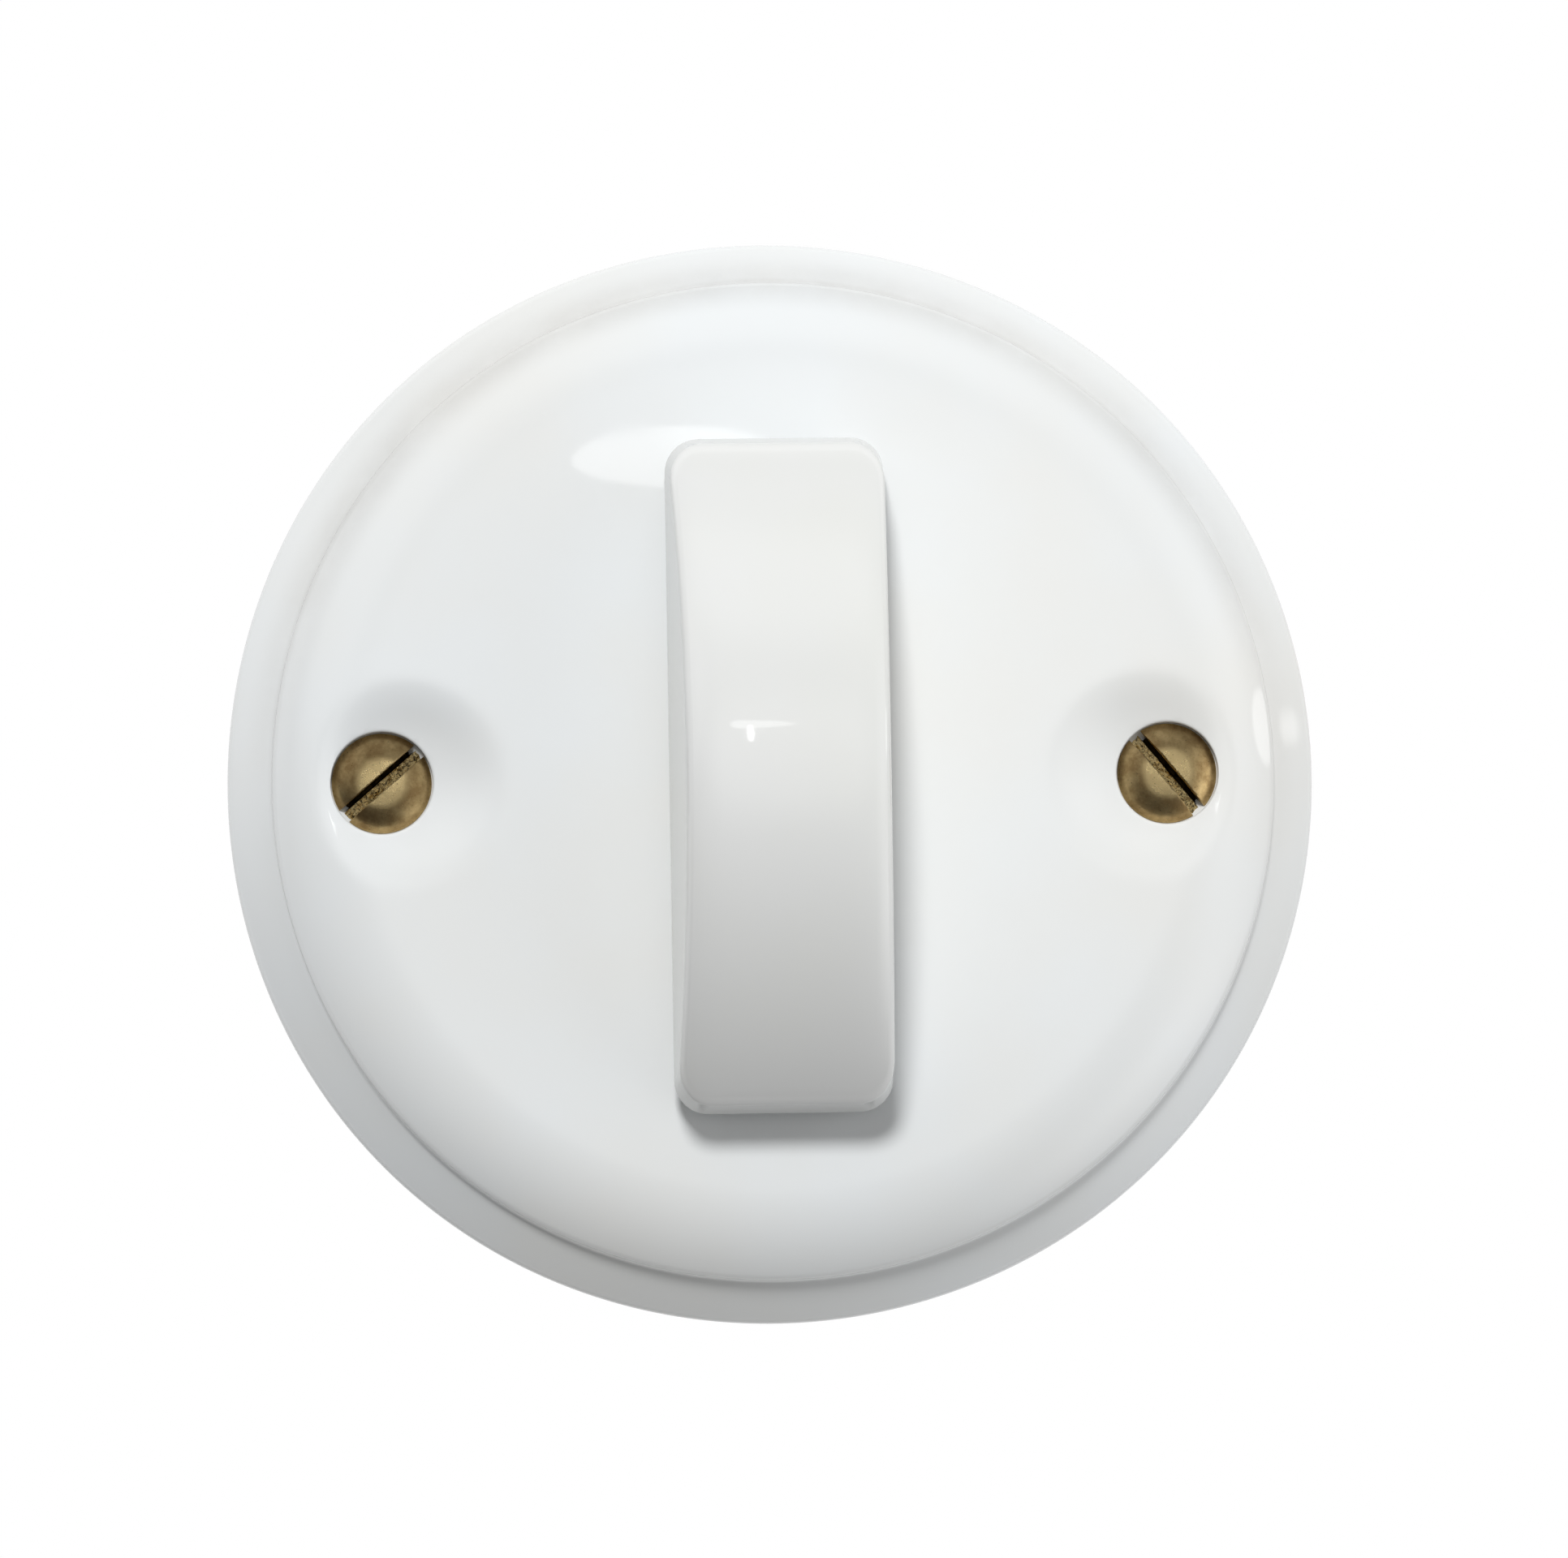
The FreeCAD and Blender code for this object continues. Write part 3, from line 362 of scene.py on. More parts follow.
def join(tree, node, sockets):
    """Set each socket of a node to a value, or link it to another node's socket or first output."""
    for name, value in sockets.items():
        if isinstance(value, Node):
            value = value.outputs[0]
        if isinstance(value, NodeSocket):
            tree.links.new(value, node.inputs[name])
        else:
            node.inputs[name].default_value = value


def add_node(tree, kind, sockets=None, **settings):
    """Add a shader node with its settings, then set or link its sockets."""
    made = tree.nodes.new("ShaderNode" + kind)
    for name, value in settings.items():
        setattr(made, name, value)
    join(tree, made, sockets or {})
    return made


def per_metre(millimetres):
    """The texture scale at which a pattern repeats every so many millimetres."""
    return 1 / (millimetres * MM)


def new_finish(name, **sockets):
    """A material with one shader, its constant sockets set, and the piece's own coordinates."""
    material = bpy.data.materials.new(name)
    material.use_nodes = True
    tree = material.node_tree
    tree.nodes.clear()
    named = {key.replace("_", " "): value for key, value in sockets.items()}
    surface = add_node(tree, "BsdfPrincipled", named)
    add_node(tree, "OutputMaterial", {"Surface": surface})
    place = add_node(tree, "TexCoord").outputs["Object"]
    return material, tree, surface, place


def coats_over(tree, base, *coats):
    """Lay coats of colour over a base, each as thick as its mask says."""
    for mask, coat in coats:
        base = add_node(tree, "Mix", {0: mask, 6: base, 7: coat}, data_type="RGBA").outputs[2]
    return base


def grain_surface(tree, surface, grain, smooth, rough, relief_mm):
    """Let one fine grain make both the uneven gloss and the relief of a surface."""
    gloss = add_node(
        tree, "MapRange",
        {"Value": grain, "From Min": 0.3, "From Max": 0.7, "To Min": smooth, "To Max": rough},
    )
    bump = add_node(tree, "Bump", {"Height": grain, "Strength": 1.0, "Distance": relief_mm * MM})
    join(tree, surface, {"Roughness": gloss, "Normal": bump})


# Films of painted shade in the groove at the foot of the plate's step: half width in millimetres, and the
# most that each covers
STEP_SHADE_FILMS = ((2.6, 0.32), (0.4, 0.2))
# Heights at which none of that painted shade lies and at which all of it does, as shares of the foot's radius
STEP_SHADE_NONE = -0.3
STEP_SHADE_FULL = 0.5


def painted_step_shade(tree, place, foot, patches):
    """The masks of the shade painted at the step's foot: broken into patches, and thickest on the plate's
    upper half, where the step's foot faces up.
    """
    apart = add_node(tree, "SeparateXYZ", {"Vector": place})
    flat = add_node(tree, "VectorMath", {0: place, 1: (1, 0, 1)}, operation="MULTIPLY")
    reach = add_node(tree, "VectorMath", {0: flat}, operation="LENGTH")
    beside = add_node(tree, "Math", {0: reach.outputs["Value"], 1: foot}, operation="SUBTRACT")
    away = add_node(tree, "Math", {0: beside}, operation="ABSOLUTE")
    shaded_share = add_node(
        tree, "MapRange",
        {"Value": apart.outputs["Z"], "From Min": STEP_SHADE_NONE * foot, "From Max": STEP_SHADE_FULL * foot},
    )
    thick = add_node(tree, "Math", {0: shaded_share, 1: patches}, operation="MULTIPLY")
    masks = []
    for wide, most in STEP_SHADE_FILMS:
        film = add_node(
            tree, "MapRange",
            {"Value": away, "From Min": wide * MM, "From Max": 0.0, "To Max": most},
            interpolation_type="SMOOTHSTEP",
        )
        masks.append(add_node(tree, "Math", {0: film, 1: thick}, operation="MULTIPLY"))
    return masks


def glazed_porcelain(name, white, cloud, speck_and_shade, foot=None):
    """Hard-fired porcelain under a clear glaze: a cool clean white with a wet gloss.

    The glaze lies in faint clouds, ripples slightly, and has a few iron specks and dull rubbed spots.
    On the plate, a thin grey film along the foot of the step, whose radius is foot, is painted shade in that
    groove, laid in the speck colour.
    """
    material, tree, surface, place = new_finish(name, IOR=1.58)
    clouds = add_node(tree, "TexNoise", {"Vector": place, "Scale": per_metre(24), "Detail": 3.0})
    clouded = add_node(tree, "MapRange", {"Value": clouds, "From Min": 0.35, "From Max": 0.75})
    cells = add_node(tree, "TexVoronoi", {"Vector": place, "Scale": per_metre(11), "Randomness": 1.0})
    near = add_node(
        tree, "MapRange", {"Value": cells.outputs["Distance"], "From Min": 0.022, "From Max": 0.009}
    )
    chosen = add_node(tree, "MapRange", {"Value": cells.outputs["Color"], "From Min": 0.72, "From Max": 0.78})
    specks = add_node(tree, "Math", {0: near, 1: chosen}, operation="MULTIPLY")
    rubbed = add_node(
        tree, "TexNoise", {"Vector": place, "Scale": per_metre(7), "Detail": 6.0, "Roughness": 0.7}
    )
    coats = [(clouded, cloud), (specks, speck_and_shade)]
    if foot:
        # These films are painted shade in the groove at the step's foot, in the speck colour
        coats += [(film, speck_and_shade) for film in painted_step_shade(tree, place, foot, rubbed)]
    glaze = coats_over(tree, white, *coats)
    gloss = add_node(
        tree, "MapRange", {"Value": rubbed, "From Min": 0.4, "From Max": 0.8, "To Min": 0.02, "To Max": 0.07}
    )
    ripple = add_node(tree, "TexNoise", {"Vector": place, "Scale": per_metre(9), "Detail": 1.0})
    bump = add_node(tree, "Bump", {"Height": ripple, "Strength": 1.0, "Distance": 0.012 * MM})
    join(tree, surface, {"Base Color": glaze, "Roughness": gloss, "Normal": bump})
    return material


def aged_brass(colours, sizes, screw_radius):
    """Old turned brass: brown tarnish over a sandy skin, rubbed bright on its rim; its turned middle is
    painted brighter, as rubbed metal and as a painted highlight.

    Dirt lies in the pits and between the bright torn grains of the slot's floor; the saw's deeper groove and
    the deepest tears are painted dark as shade.
    """
    material, tree, surface, place = new_finish("aged_brass", Metallic=1.0)
    apart = add_node(tree, "SeparateXYZ", {"Vector": place})
    side = add_node(tree, "Math", {0: apart.outputs["X"]}, operation="ABSOLUTE")
    across = add_node(tree, "Math", {0: side, 1: screw_radius}, operation="SUBTRACT")
    around = add_node(tree, "CombineXYZ", {"X": across, "Y": apart.outputs["Z"]})
    radius = add_node(tree, "VectorMath", {0: around}, operation="LENGTH").outputs["Value"]
    low = SCREWS_LOW.y + sizes.slot_depth
    sand = add_node(
        tree, "TexNoise", {"Vector": place, "Scale": per_metre(0.16), "Detail": 4.0, "Roughness": 0.75}
    )
    stains = add_node(
        tree, "TexNoise", {"Vector": place, "Scale": per_metre(1.6), "Detail": 5.0, "Roughness": 0.65}
    )
    # What each mask goes by, where it starts, where it is full, and its most
    masks = {}
    for name, value, start, end, most in (
        # The turned middle's bright coat is partly rubbed metal, partly a painted highlight
        ("patch", radius, sizes.patch_radius * 1.15, sizes.patch_radius * 0.85, 0.7),
        ("rim", radius, sizes.head_radius * 0.97, sizes.head_radius * 0.99, 0.3),
        ("inside", radius, sizes.head_radius, sizes.head_radius * 0.97, 1.0),
        ("deep", apart.outputs["Y"], low - 0.5 * MM, low - 0.2 * MM, 1.0),
        # Painted shade: the saw's deeper groove and the deepest tears are coated dark
        ("saw_groove_shade", apart.outputs["Y"], low + 0.12 * MM, low + 0.3 * MM, 1.0),
        ("thin", stains, 0.38, 0.62, 1.0),
        ("pits", sand, 0.4, 0.28, 0.8),
        ("flecks", sand, 0.66, 0.72, 0.9),
        ("packed", sand, 0.5, 0.4, 1.0),
    ):
        masks[name] = add_node(
            tree, "MapRange", {"Value": value, "From Min": start, "From Max": end, "To Max": most}
        )
    slot = add_node(tree, "Math", {0: masks["deep"], 1: masks["inside"]}, operation="MULTIPLY")
    floor = coats_over(tree, colours.brass_bright, (masks["packed"], colours.brass_dark))
    skin = coats_over(
        tree, colours.brass_dull,
        (masks["thin"], colours.brass_tan),
        (masks["patch"], colours.brass_bright),
        (masks["rim"], colours.brass_bright),
        (masks["pits"], colours.brass_dark),
        (masks["flecks"], colours.brass_bright),
        (slot, floor),
        # Painted shade in the saw's groove
        (masks["saw_groove_shade"], colours.brass_dark),
    )
    rough = add_node(
        tree, "MapRange", {"Value": stains, "From Min": 0.3, "From Max": 0.7, "To Min": 0.46, "To Max": 0.36}
    )
    for mask, change in ((masks["patch"], -0.2), (slot, -0.26), (masks["saw_groove_shade"], 0.4)):
        rough = add_node(tree, "Math", {0: mask, 1: change, 2: rough}, operation="MULTIPLY_ADD")
    grain = add_node(tree, "Math", {0: slot, 1: 0.04 * MM, 2: 0.012 * MM}, operation="MULTIPLY_ADD")
    bump = add_node(tree, "Bump", {"Height": sand, "Strength": 1.0, "Distance": grain})
    join(tree, surface, {"Base Color": skin, "Roughness": rough, "Normal": bump})
    return material


def worked_metal(name, bright, dull, stain_mm, line_mm, stretch, smooth, rough, relief_mm):
    """Bare metal with stains of one size and fine tool lines of another, drawn out along one way."""
    material, tree, surface, place = new_finish(name, Metallic=1.0)
    stains = add_node(
        tree, "TexNoise", {"Vector": place, "Scale": per_metre(stain_mm), "Detail": 5.0, "Roughness": 0.6}
    )
    stained = add_node(tree, "MapRange", {"Value": stains, "From Min": 0.4, "From Max": 0.7})
    join(tree, surface, {"Base Color": coats_over(tree, bright, (stained, dull))})
    drawn = add_node(tree, "Mapping", {"Vector": place, "Scale": stretch})
    lines = add_node(tree, "TexNoise", {"Vector": drawn, "Scale": per_metre(line_mm), "Detail": 3.0})
    grain_surface(tree, surface, lines, smooth, rough, relief_mm)
    return material


def machined_brass(colours):
    """Turned and sawn brass kept from the light: a warm satin yellow, with cutter lines and brown stains."""
    return worked_metal(
        "machined_brass", colours.brass, colours.brass_stain,
        stain_mm=4, line_mm=0.4, stretch=(0.25, 1, 1), smooth=0.22, rough=0.38, relief_mm=0.004,
    )


def zinc_plated_steel(colours):
    """Rolled steel with thin zinc plating: a cool satin grey with rolling lines and dull white bloom."""
    return worked_metal(
        "zinc_plated_steel", colours.zinc, colours.zinc_dull,
        stain_mm=6, line_mm=0.5, stretch=(1, 1, 0.06), smooth=0.28, rough=0.45, relief_mm=0.003,
    )


def spring_steel(colours):
    """Tempered steel strip: a dark smooth grey with a blue bloom."""
    return worked_metal(
        "spring_steel", colours.spring_steel, colours.spring_steel_blue,
        stain_mm=5, line_mm=0.3, stretch=(0.1, 1, 1), smooth=0.2, rough=0.34, relief_mm=0.002,
    )


def spring_bronze(colours):
    """Rolled bronze strip: a reddish satin with fine rolling lines and brown oxide."""
    return worked_metal(
        "spring_bronze", colours.bronze, colours.bronze_stain,
        stain_mm=3, line_mm=0.3, stretch=(1, 0.1, 1), smooth=0.24, rough=0.4, relief_mm=0.003,
    )


def pressed_body(name, main, mark, mark_mm, grain_mm, smooth, rough, relief_mm):
    """A dry pressed or moulded body: soft marks of one size over a fine grain of another."""
    material, tree, surface, place = new_finish(name, IOR=1.5)
    marks = add_node(
        tree, "TexNoise", {"Vector": place, "Scale": per_metre(mark_mm), "Detail": 6.0, "Roughness": 0.6}
    )
    marked = add_node(tree, "MapRange", {"Value": marks, "From Min": 0.42, "From Max": 0.72})
    join(tree, surface, {"Base Color": coats_over(tree, main, (marked, mark))})
    grain = add_node(
        tree, "TexNoise", {"Vector": place, "Scale": per_metre(grain_mm), "Detail": 4.0, "Roughness": 0.7}
    )
    grain_surface(tree, surface, grain, smooth, rough, relief_mm)
    return material


def pressed_steatite(colours):
    """Unglazed steatite from the press: a dry cream white with a fine grain and grey handling marks."""
    return pressed_body(
        "pressed_steatite", colours.steatite, colours.steatite_stain,
        mark_mm=7, grain_mm=0.3, smooth=0.5, rough=0.75, relief_mm=0.02,
    )


def thermoset_moulding(colours):
    """Brown thermoset with wood flour: a dark satin with small paler flecks."""
    return pressed_body(
        "thermoset_moulding", colours.moulding, colours.moulding_fleck,
        mark_mm=0.6, grain_mm=0.4, smooth=0.3, rough=0.42, relief_mm=0.004,
    )


def pressed_fibre(colours):
    """Pressed red-brown fibre sheet: a dry felted face with paler hairs."""
    return pressed_body(
        "pressed_fibre", colours.fibre, colours.fibre_fleck,
        mark_mm=1.2, grain_mm=0.25, smooth=0.6, rough=0.8, relief_mm=0.02,
    )


# Brightness of the paper's tooth against its face
TOOTH_SHADE = 0.97


def studio_floor(colours):
    """Matt pale studio paper with a barely visible tooth."""
    material, tree, surface, place = new_finish("studio_floor", Roughness=0.9)
    tooth = add_node(tree, "TexNoise", {"Vector": place, "Scale": per_metre(1.5), "Detail": 2.0})
    darker = (*(TOOTH_SHADE * part for part in colours.floor[:3]), 1.0)
    join(tree, surface, {"Base Color": coats_over(tree, colours.floor, (tooth, darker))})
    return material


# Pieces


def plate_section(mesh, sizes):
    """Draw the plate's section over its front and back under it.

    Gives the dome's height at a screw and the radius of the step's foot.
    """
    upright = math.pi / 2
    line = Section(mesh, PLATE_HIGH.x, 0, upright)
    line.line(sizes.side_height, steps=2)
    line.arc(sizes.edge_round, upright - sizes.rim_slope, steps=12)
    line.line(sizes.rim_land, steps=3)
    line.arc(sizes.step_foot, sizes.rim_slope + sizes.step_draft - upright, steps=8)
    foot = line.tip.co.x
    line.line(sizes.step_wall)
    line.arc(sizes.step_edge, upright - sizes.step_draft - sizes.dome_slope, steps=12)
    line.arc(sizes.dome_edge_radius, sizes.dome_slope - sizes.middle_slope, steps=22)
    radius = line.tip.co.x / math.sin(sizes.middle_slope)
    hole_slope = math.asin((sizes.hole_radius + sizes.hole_round) / radius)
    centre = line.arc(radius, sizes.middle_slope - hole_slope, steps=34)
    at_screw = math.sqrt(radius**2 - sizes.screw_radius**2) - centre.y
    line.arc(sizes.hole_round, upright + hole_slope, steps=8)
    hole = line.tip.co.x
    hollow = PLATE_HIGH.x - sizes.rim_wall
    corner = hollow - sizes.hollow_corner * (1 - math.sin(sizes.ceiling_slope))
    ceiling = corner / math.sin(sizes.ceiling_slope)
    corner_height = sizes.hollow_side + sizes.hollow_corner * math.cos(sizes.ceiling_slope)
    inner_slope = math.asin(hole / ceiling)
    drop = ceiling * (math.cos(inner_slope) - math.cos(sizes.ceiling_slope))
    line.level(hole, corner_height + drop)
    line.heading = -inner_slope
    line.arc(ceiling, inner_slope - sizes.ceiling_slope, steps=16)
    line.arc(sizes.hollow_corner, sizes.ceiling_slope - upright, steps=8)
    line.level(hollow, 0)
    line.close()
    return at_screw, foot


def press_dishes(mesh, sizes, at_screw):
    """Sink a soft dish into the dome at each screw, and give the height of its floor."""
    floor = at_screw - sizes.dish_depth
    inside = sizes.screw_radius - sizes.dish_radius
    for vert in mesh.verts:
        if -vert.co.y < floor - sizes.dish_depth or math.hypot(vert.co.x, vert.co.z) < inside:
            continue
        away = math.hypot(abs(vert.co.x) - sizes.screw_radius, vert.co.z)
        if away < sizes.dish_radius:
            ball = floor + sizes.dish_radius - math.sqrt(sizes.dish_radius**2 - away**2)
            vert.co.y = -smooth_min(-vert.co.y, ball, sizes.dish_blend)
    return floor


# How the kiln leaves the plate out of round: number of lobes, their height in millimetres, angle of a peak
FIRED_LOBES = ((2, 0.12, 8), (3, 0.08, 0), (4, 0.07, 43))


def warp_in_firing(mesh):
    """Pull the plate slightly out of round, most at its rim and not at all in its middle."""
    for vert in mesh.verts:
        turn = math.atan2(vert.co.z, vert.co.x)
        out = math.hypot(vert.co.x, vert.co.z) / PLATE_HIGH.x
        swell = sum(high * math.cos(lobes * (turn - math.radians(peak))) for lobes, high, peak in FIRED_LOBES)
        grow = 1 + out**2 * swell * MM / PLATE_HIGH.x
        vert.co.x *= grow
        vert.co.z *= grow


def moved(mesh, x):
    bmesh.ops.translate(mesh, vec=(x, 0, 0), verts=mesh.verts)
    return mesh


# Lean at which the round of a countersink's edge runs out into its dish, a little steeper than the dish
SINK_LEAN = math.radians(28)
SINK_STEPS = 6


def sink_line(sizes, floor, top):
    """The countersink's section: the glaze's rounded edge, an upright wall, the cone and the screw's hole."""
    ball, soft, wall = sizes.dish_radius, sizes.sink_edge, sizes.sink_wall
    centre = floor + ball - math.sqrt((ball + soft) ** 2 - (wall + soft) ** 2)
    line = [(0, top)]
    for step in range(SINK_STEPS + 1):
        turn = SINK_LEAN + (math.pi / 2 - SINK_LEAN) * step / SINK_STEPS
        line.append((wall + soft - soft * math.sin(turn), centre + soft * math.cos(turn)))
    run = (top - line[1][1]) / math.tan(SINK_LEAN)
    line.insert(1, (line[1][0] + run, top))
    cone = sizes.sink_radius - sizes.shank_hole
    line += [(wall, floor - sizes.sink_radius + wall), (sizes.shank_hole, floor - cone)]
    return line + [(sizes.shank_hole, -MM), (0, -MM)]


def build_cover_plate(sizes, colours):
    mesh = bmesh.new()
    at_screw, foot = plate_section(mesh, sizes)
    turn_round(mesh, PLATE_STEPS)
    floor = press_dishes(mesh, sizes, at_screw)
    warp_in_firing(mesh)
    plate = add_object("porcelain_cover", mesh)
    top = -PLATE_LOW.y
    rise = top - floor
    for side in (-1, 1):
        x = side * sizes.screw_radius
        boss = [(0, floor - rise), (sizes.boss_radius, floor - rise), (sizes.boss_radius, sizes.boss_back)]
        combine(plate, moved(turned(boss + [(0, sizes.boss_back)]), x), "UNION")
        combine(plate, moved(turned(sink_line(sizes, floor, top)), x), "DIFFERENCE")
    edit(plate, clean)
    glaze = glazed_porcelain(
        "plate_porcelain", colours.porcelain, colours.porcelain_warm, colours.speck_and_shade, foot
    )
    finish(plate, glaze, crease=35, body="housing", node="cover_plate")


# The most that the normal of an upright wall leans towards the front or back
WALL_LEAN = 0.1


def knob_bar(mesh, sizes):
    """The arched bar: a block with rounded edges, cut along and across, then bent to its arch and drafts."""
    back = sizes.neck_length - KNOB_HIGH.y
    height = -KNOB_LOW.y - back
    half_width = KNOB_HIGH.x
    half_length = KNOB_HIGH.z
    bmesh.ops.create_cube(mesh, size=2)
    bmesh.ops.scale(mesh, vec=(half_width, height / 2, half_length), verts=mesh.verts)
    bmesh.ops.translate(mesh, vec=(0, -height / 2, 0), verts=mesh.verts)
    bevel(mesh, uprights(mesh), sizes.corner_round, segments=10)
    bevel(mesh, [e for e in mesh.edges if faces_way(e, -1)], sizes.edge_round, segments=8)
    bevel(mesh, [e for e in mesh.edges if faces_way(e, 1)], sizes.foot_round, segments=4)
    clean(mesh)
    walls = [f for f in mesh.faces if abs(f.normal.y) < WALL_LEAN]
    bmesh.ops.inset_region(mesh, faces=walls, thickness=0.3 * MM, use_even_offset=True)
    slice_block(mesh, Vector((1, 0, 0)), 2 * half_width, count=12)
    slice_block(mesh, Vector((0, 0, 1)), 2 * half_length, count=60)
    bend_bar(mesh, sizes, height, half_width, half_length)
    bmesh.ops.translate(mesh, vec=(0, -back, 0), verts=mesh.verts)
    clean(mesh)
    return back, half_width, half_length


# The higher, the closer to its long edges the front starts to roll over
ROLL_POWER = 8


def bend_bar(mesh, sizes, height, half_width, half_length):
    """Bend the block's front down to an arch, roll its long edges over, and lean its sides and ends."""
    end = half_length - sizes.end_height * math.tan(sizes.end_draft)
    reach = end + sizes.arch_overrun
    rise = (height - sizes.end_height) / (1 - math.sqrt(1 - (end / reach) ** 2))
    wall = height - sizes.edge_round - sizes.foot_round
    for vert in mesh.verts:
        along = vert.co.z / half_length
        aside = vert.co.x / half_width
        share = min(1.0, max(0.0, (-vert.co.y - sizes.foot_round) / wall))
        arch = rise * (1 - math.sqrt(1 - (along * end / reach) ** 2))
        drop = arch + sizes.crown * aside**2 + sizes.droop * aside**ROLL_POWER
        vert.co.y += drop * share
        vert.co.x += aside * vert.co.y * math.tan(sizes.side_draft)
        vert.co.z += along * vert.co.y * math.tan(sizes.end_draft)


# Share of Y in a face's normal: above the first it looks along Y, below the second it does not
LOOKS_ALONG = 0.75
LOOKS_ASIDE = 0.6


def faces_way(edge, way):
    """Does one of the edge's faces look along Y the given way, while the other does not?"""
    looks = sorted(way * face.normal.y for face in edge.link_faces)
    return looks[1] > LOOKS_ALONG and looks[0] < LOOKS_ASIDE


def pocket(sizes, back, low, high, half):
    """A round-cornered pocket in the back of the bar."""
    mesh = bmesh.new()
    bmesh.ops.create_cube(mesh, size=1)
    depth = 2 * sizes.pocket_depth
    bmesh.ops.scale(mesh, vec=(2 * half, depth, high - low), verts=mesh.verts)
    bmesh.ops.translate(mesh, vec=(0, -back, (high + low) / 2), verts=mesh.verts)
    bevel(mesh, uprights(mesh), sizes.pocket_round, segments=6)
    clean(mesh)
    return mesh


def build_knob(sizes, colours):
    mesh = bmesh.new()
    back, half_width, half_length = knob_bar(mesh, sizes)
    piece = add_object("porcelain_knob", mesh)
    neck_back = back - sizes.neck_length
    inner = back + sizes.pocket_depth
    neck = [(0, inner), (sizes.neck_radius, inner), (sizes.neck_radius, neck_back), (0, neck_back)]
    combine(piece, turned(neck), "UNION")
    bore = [
        (0, sizes.bore_front), (sizes.bore_radius, sizes.bore_front),
        (sizes.bore_radius, neck_back - MM), (0, neck_back - MM),
    ]
    combine(piece, turned(bore), "DIFFERENCE")
    low = sizes.neck_radius + sizes.pocket_wall / 2
    high = half_length - sizes.pocket_wall
    half = half_width - sizes.pocket_wall
    for ends in ((low, high), (-high, -low)):
        combine(piece, pocket(sizes, back, *ends, half), "DIFFERENCE")
    glaze = glazed_porcelain(
        "knob_porcelain", colours.knob_porcelain, colours.knob_porcelain_warm, colours.speck_and_shade
    )
    finish(piece, glaze, crease=40, body="rotor", node="knob")


def screw_section(mesh, sizes):
    """From the top of the head, over its turned middle, dome and rim, down the shank to the tip."""
    top = -SCREWS_LOW.y
    edge = top - sizes.rise
    line = Section(mesh, 0, top, 0)
    line.arc(sizes.patch_radius / math.sin(sizes.patch_slope), -sizes.patch_slope, steps=6)
    line.heading = -sizes.dome_slope
    run = sizes.head_radius - sizes.edge_round / 2 - sizes.patch_radius
    fall = -line.tip.co.y - edge - sizes.edge_round / 2
    bend = 2 * (math.atan2(fall, run) - sizes.dome_slope)
    reach = math.hypot(run, fall)
    line.arc(reach / 2 / math.sin(bend / 2), -bend, steps=14)
    line.level(sizes.head_radius, edge)
    under = edge - sizes.land
    line.level(sizes.head_radius, under)
    line.level(sizes.core_radius, under - sizes.head_radius + sizes.core_radius)
    tip = -SCREWS_HIGH.y
    line.level(sizes.core_radius, tip + sizes.pitch / 2)
    line.level(sizes.core_radius - sizes.pitch / 2, tip)
    line.level(0, tip)


# Steps in one turn of the thread
THREAD_STEPS = 24
# The thread's ridge: its foot as a share of the shank's radius, its half width as a share of the pitch,
# and its flat crest as a share of that half width
RIDGE_FOOT = 0.97
RIDGE_HALF = 0.42
RIDGE_CREST = 0.12


def thread(sizes):
    """The screw's thread: a small ridge wound along the shank and closed at both ends."""
    mesh = bmesh.new()
    turns = round(sizes.thread_length / sizes.pitch)
    low = SCREWS_HIGH.y - sizes.pitch
    root = sizes.core_radius * RIDGE_FOOT
    half = sizes.pitch * RIDGE_HALF
    crest = half * RIDGE_CREST
    corners = [(root, half), (sizes.crest_radius, crest), (sizes.crest_radius, -crest), (root, -half)]
    ridge = [mesh.verts.new((x, low + y, 0)) for x, y in corners]
    start = mesh.faces.new(ridge)
    made = bmesh.ops.spin(
        mesh, geom=[start], cent=(0, 0, 0), axis=(0, 1, 0), dvec=(0, -sizes.pitch / THREAD_STEPS, 0),
        angle=math.tau * turns, steps=THREAD_STEPS * turns,
    )
    last = {v for v in made["geom_last"] if isinstance(v, bmesh.types.BMVert)}
    for ends in (set(ridge), last):
        for vert in ends:
            reach = math.hypot(vert.co.x, vert.co.z)
            vert.co.x *= root / reach
            vert.co.z *= root / reach
    clean(mesh)
    return mesh


# Length of the saw's cut in radii of the head
CUT_REACH = 2.4
# Grains that one tear of the slot's floor spans
TEAR_SPAN = 2.3
# Share of the slot's width that the saw's first, deeper stroke takes along its upper side
SAW_SHARE = 0.25


def slot_cutter(sizes, seed):
    """The saw's cut: a long block whose end tears the slot's floor and runs deeper along its upper side."""
    mesh = bmesh.new()
    bmesh.ops.create_cube(mesh, size=1)
    reach = CUT_REACH * sizes.head_radius
    bmesh.ops.scale(mesh, vec=(reach, 2 * sizes.slot_depth, sizes.slot_width), verts=mesh.verts)
    for size, way in ((reach, Vector((1, 0, 0))), (sizes.slot_width, Vector((0, 0, 1)))):
        slice_block(mesh, way, size, round(size / sizes.tear_size))
    for vert in mesh.verts:
        if vert.co.y > sizes.slot_depth - MERGE:
            spot = vert.co / (TEAR_SPAN * sizes.tear_size) + Vector((0, seed, 0))
            vert.co.y += sizes.tear_depth * noise.noise(spot)
            if vert.co.z > sizes.slot_width * (0.5 - SAW_SHARE):
                vert.co.y += sizes.saw_depth
    bmesh.ops.translate(mesh, vec=(0, SCREWS_LOW.y, 0), verts=mesh.verts)
    return mesh


# An edge of the slot's lip is nearer than this to the saw's cut, and longer than this
LIP_NEAR = 0.01 * MM
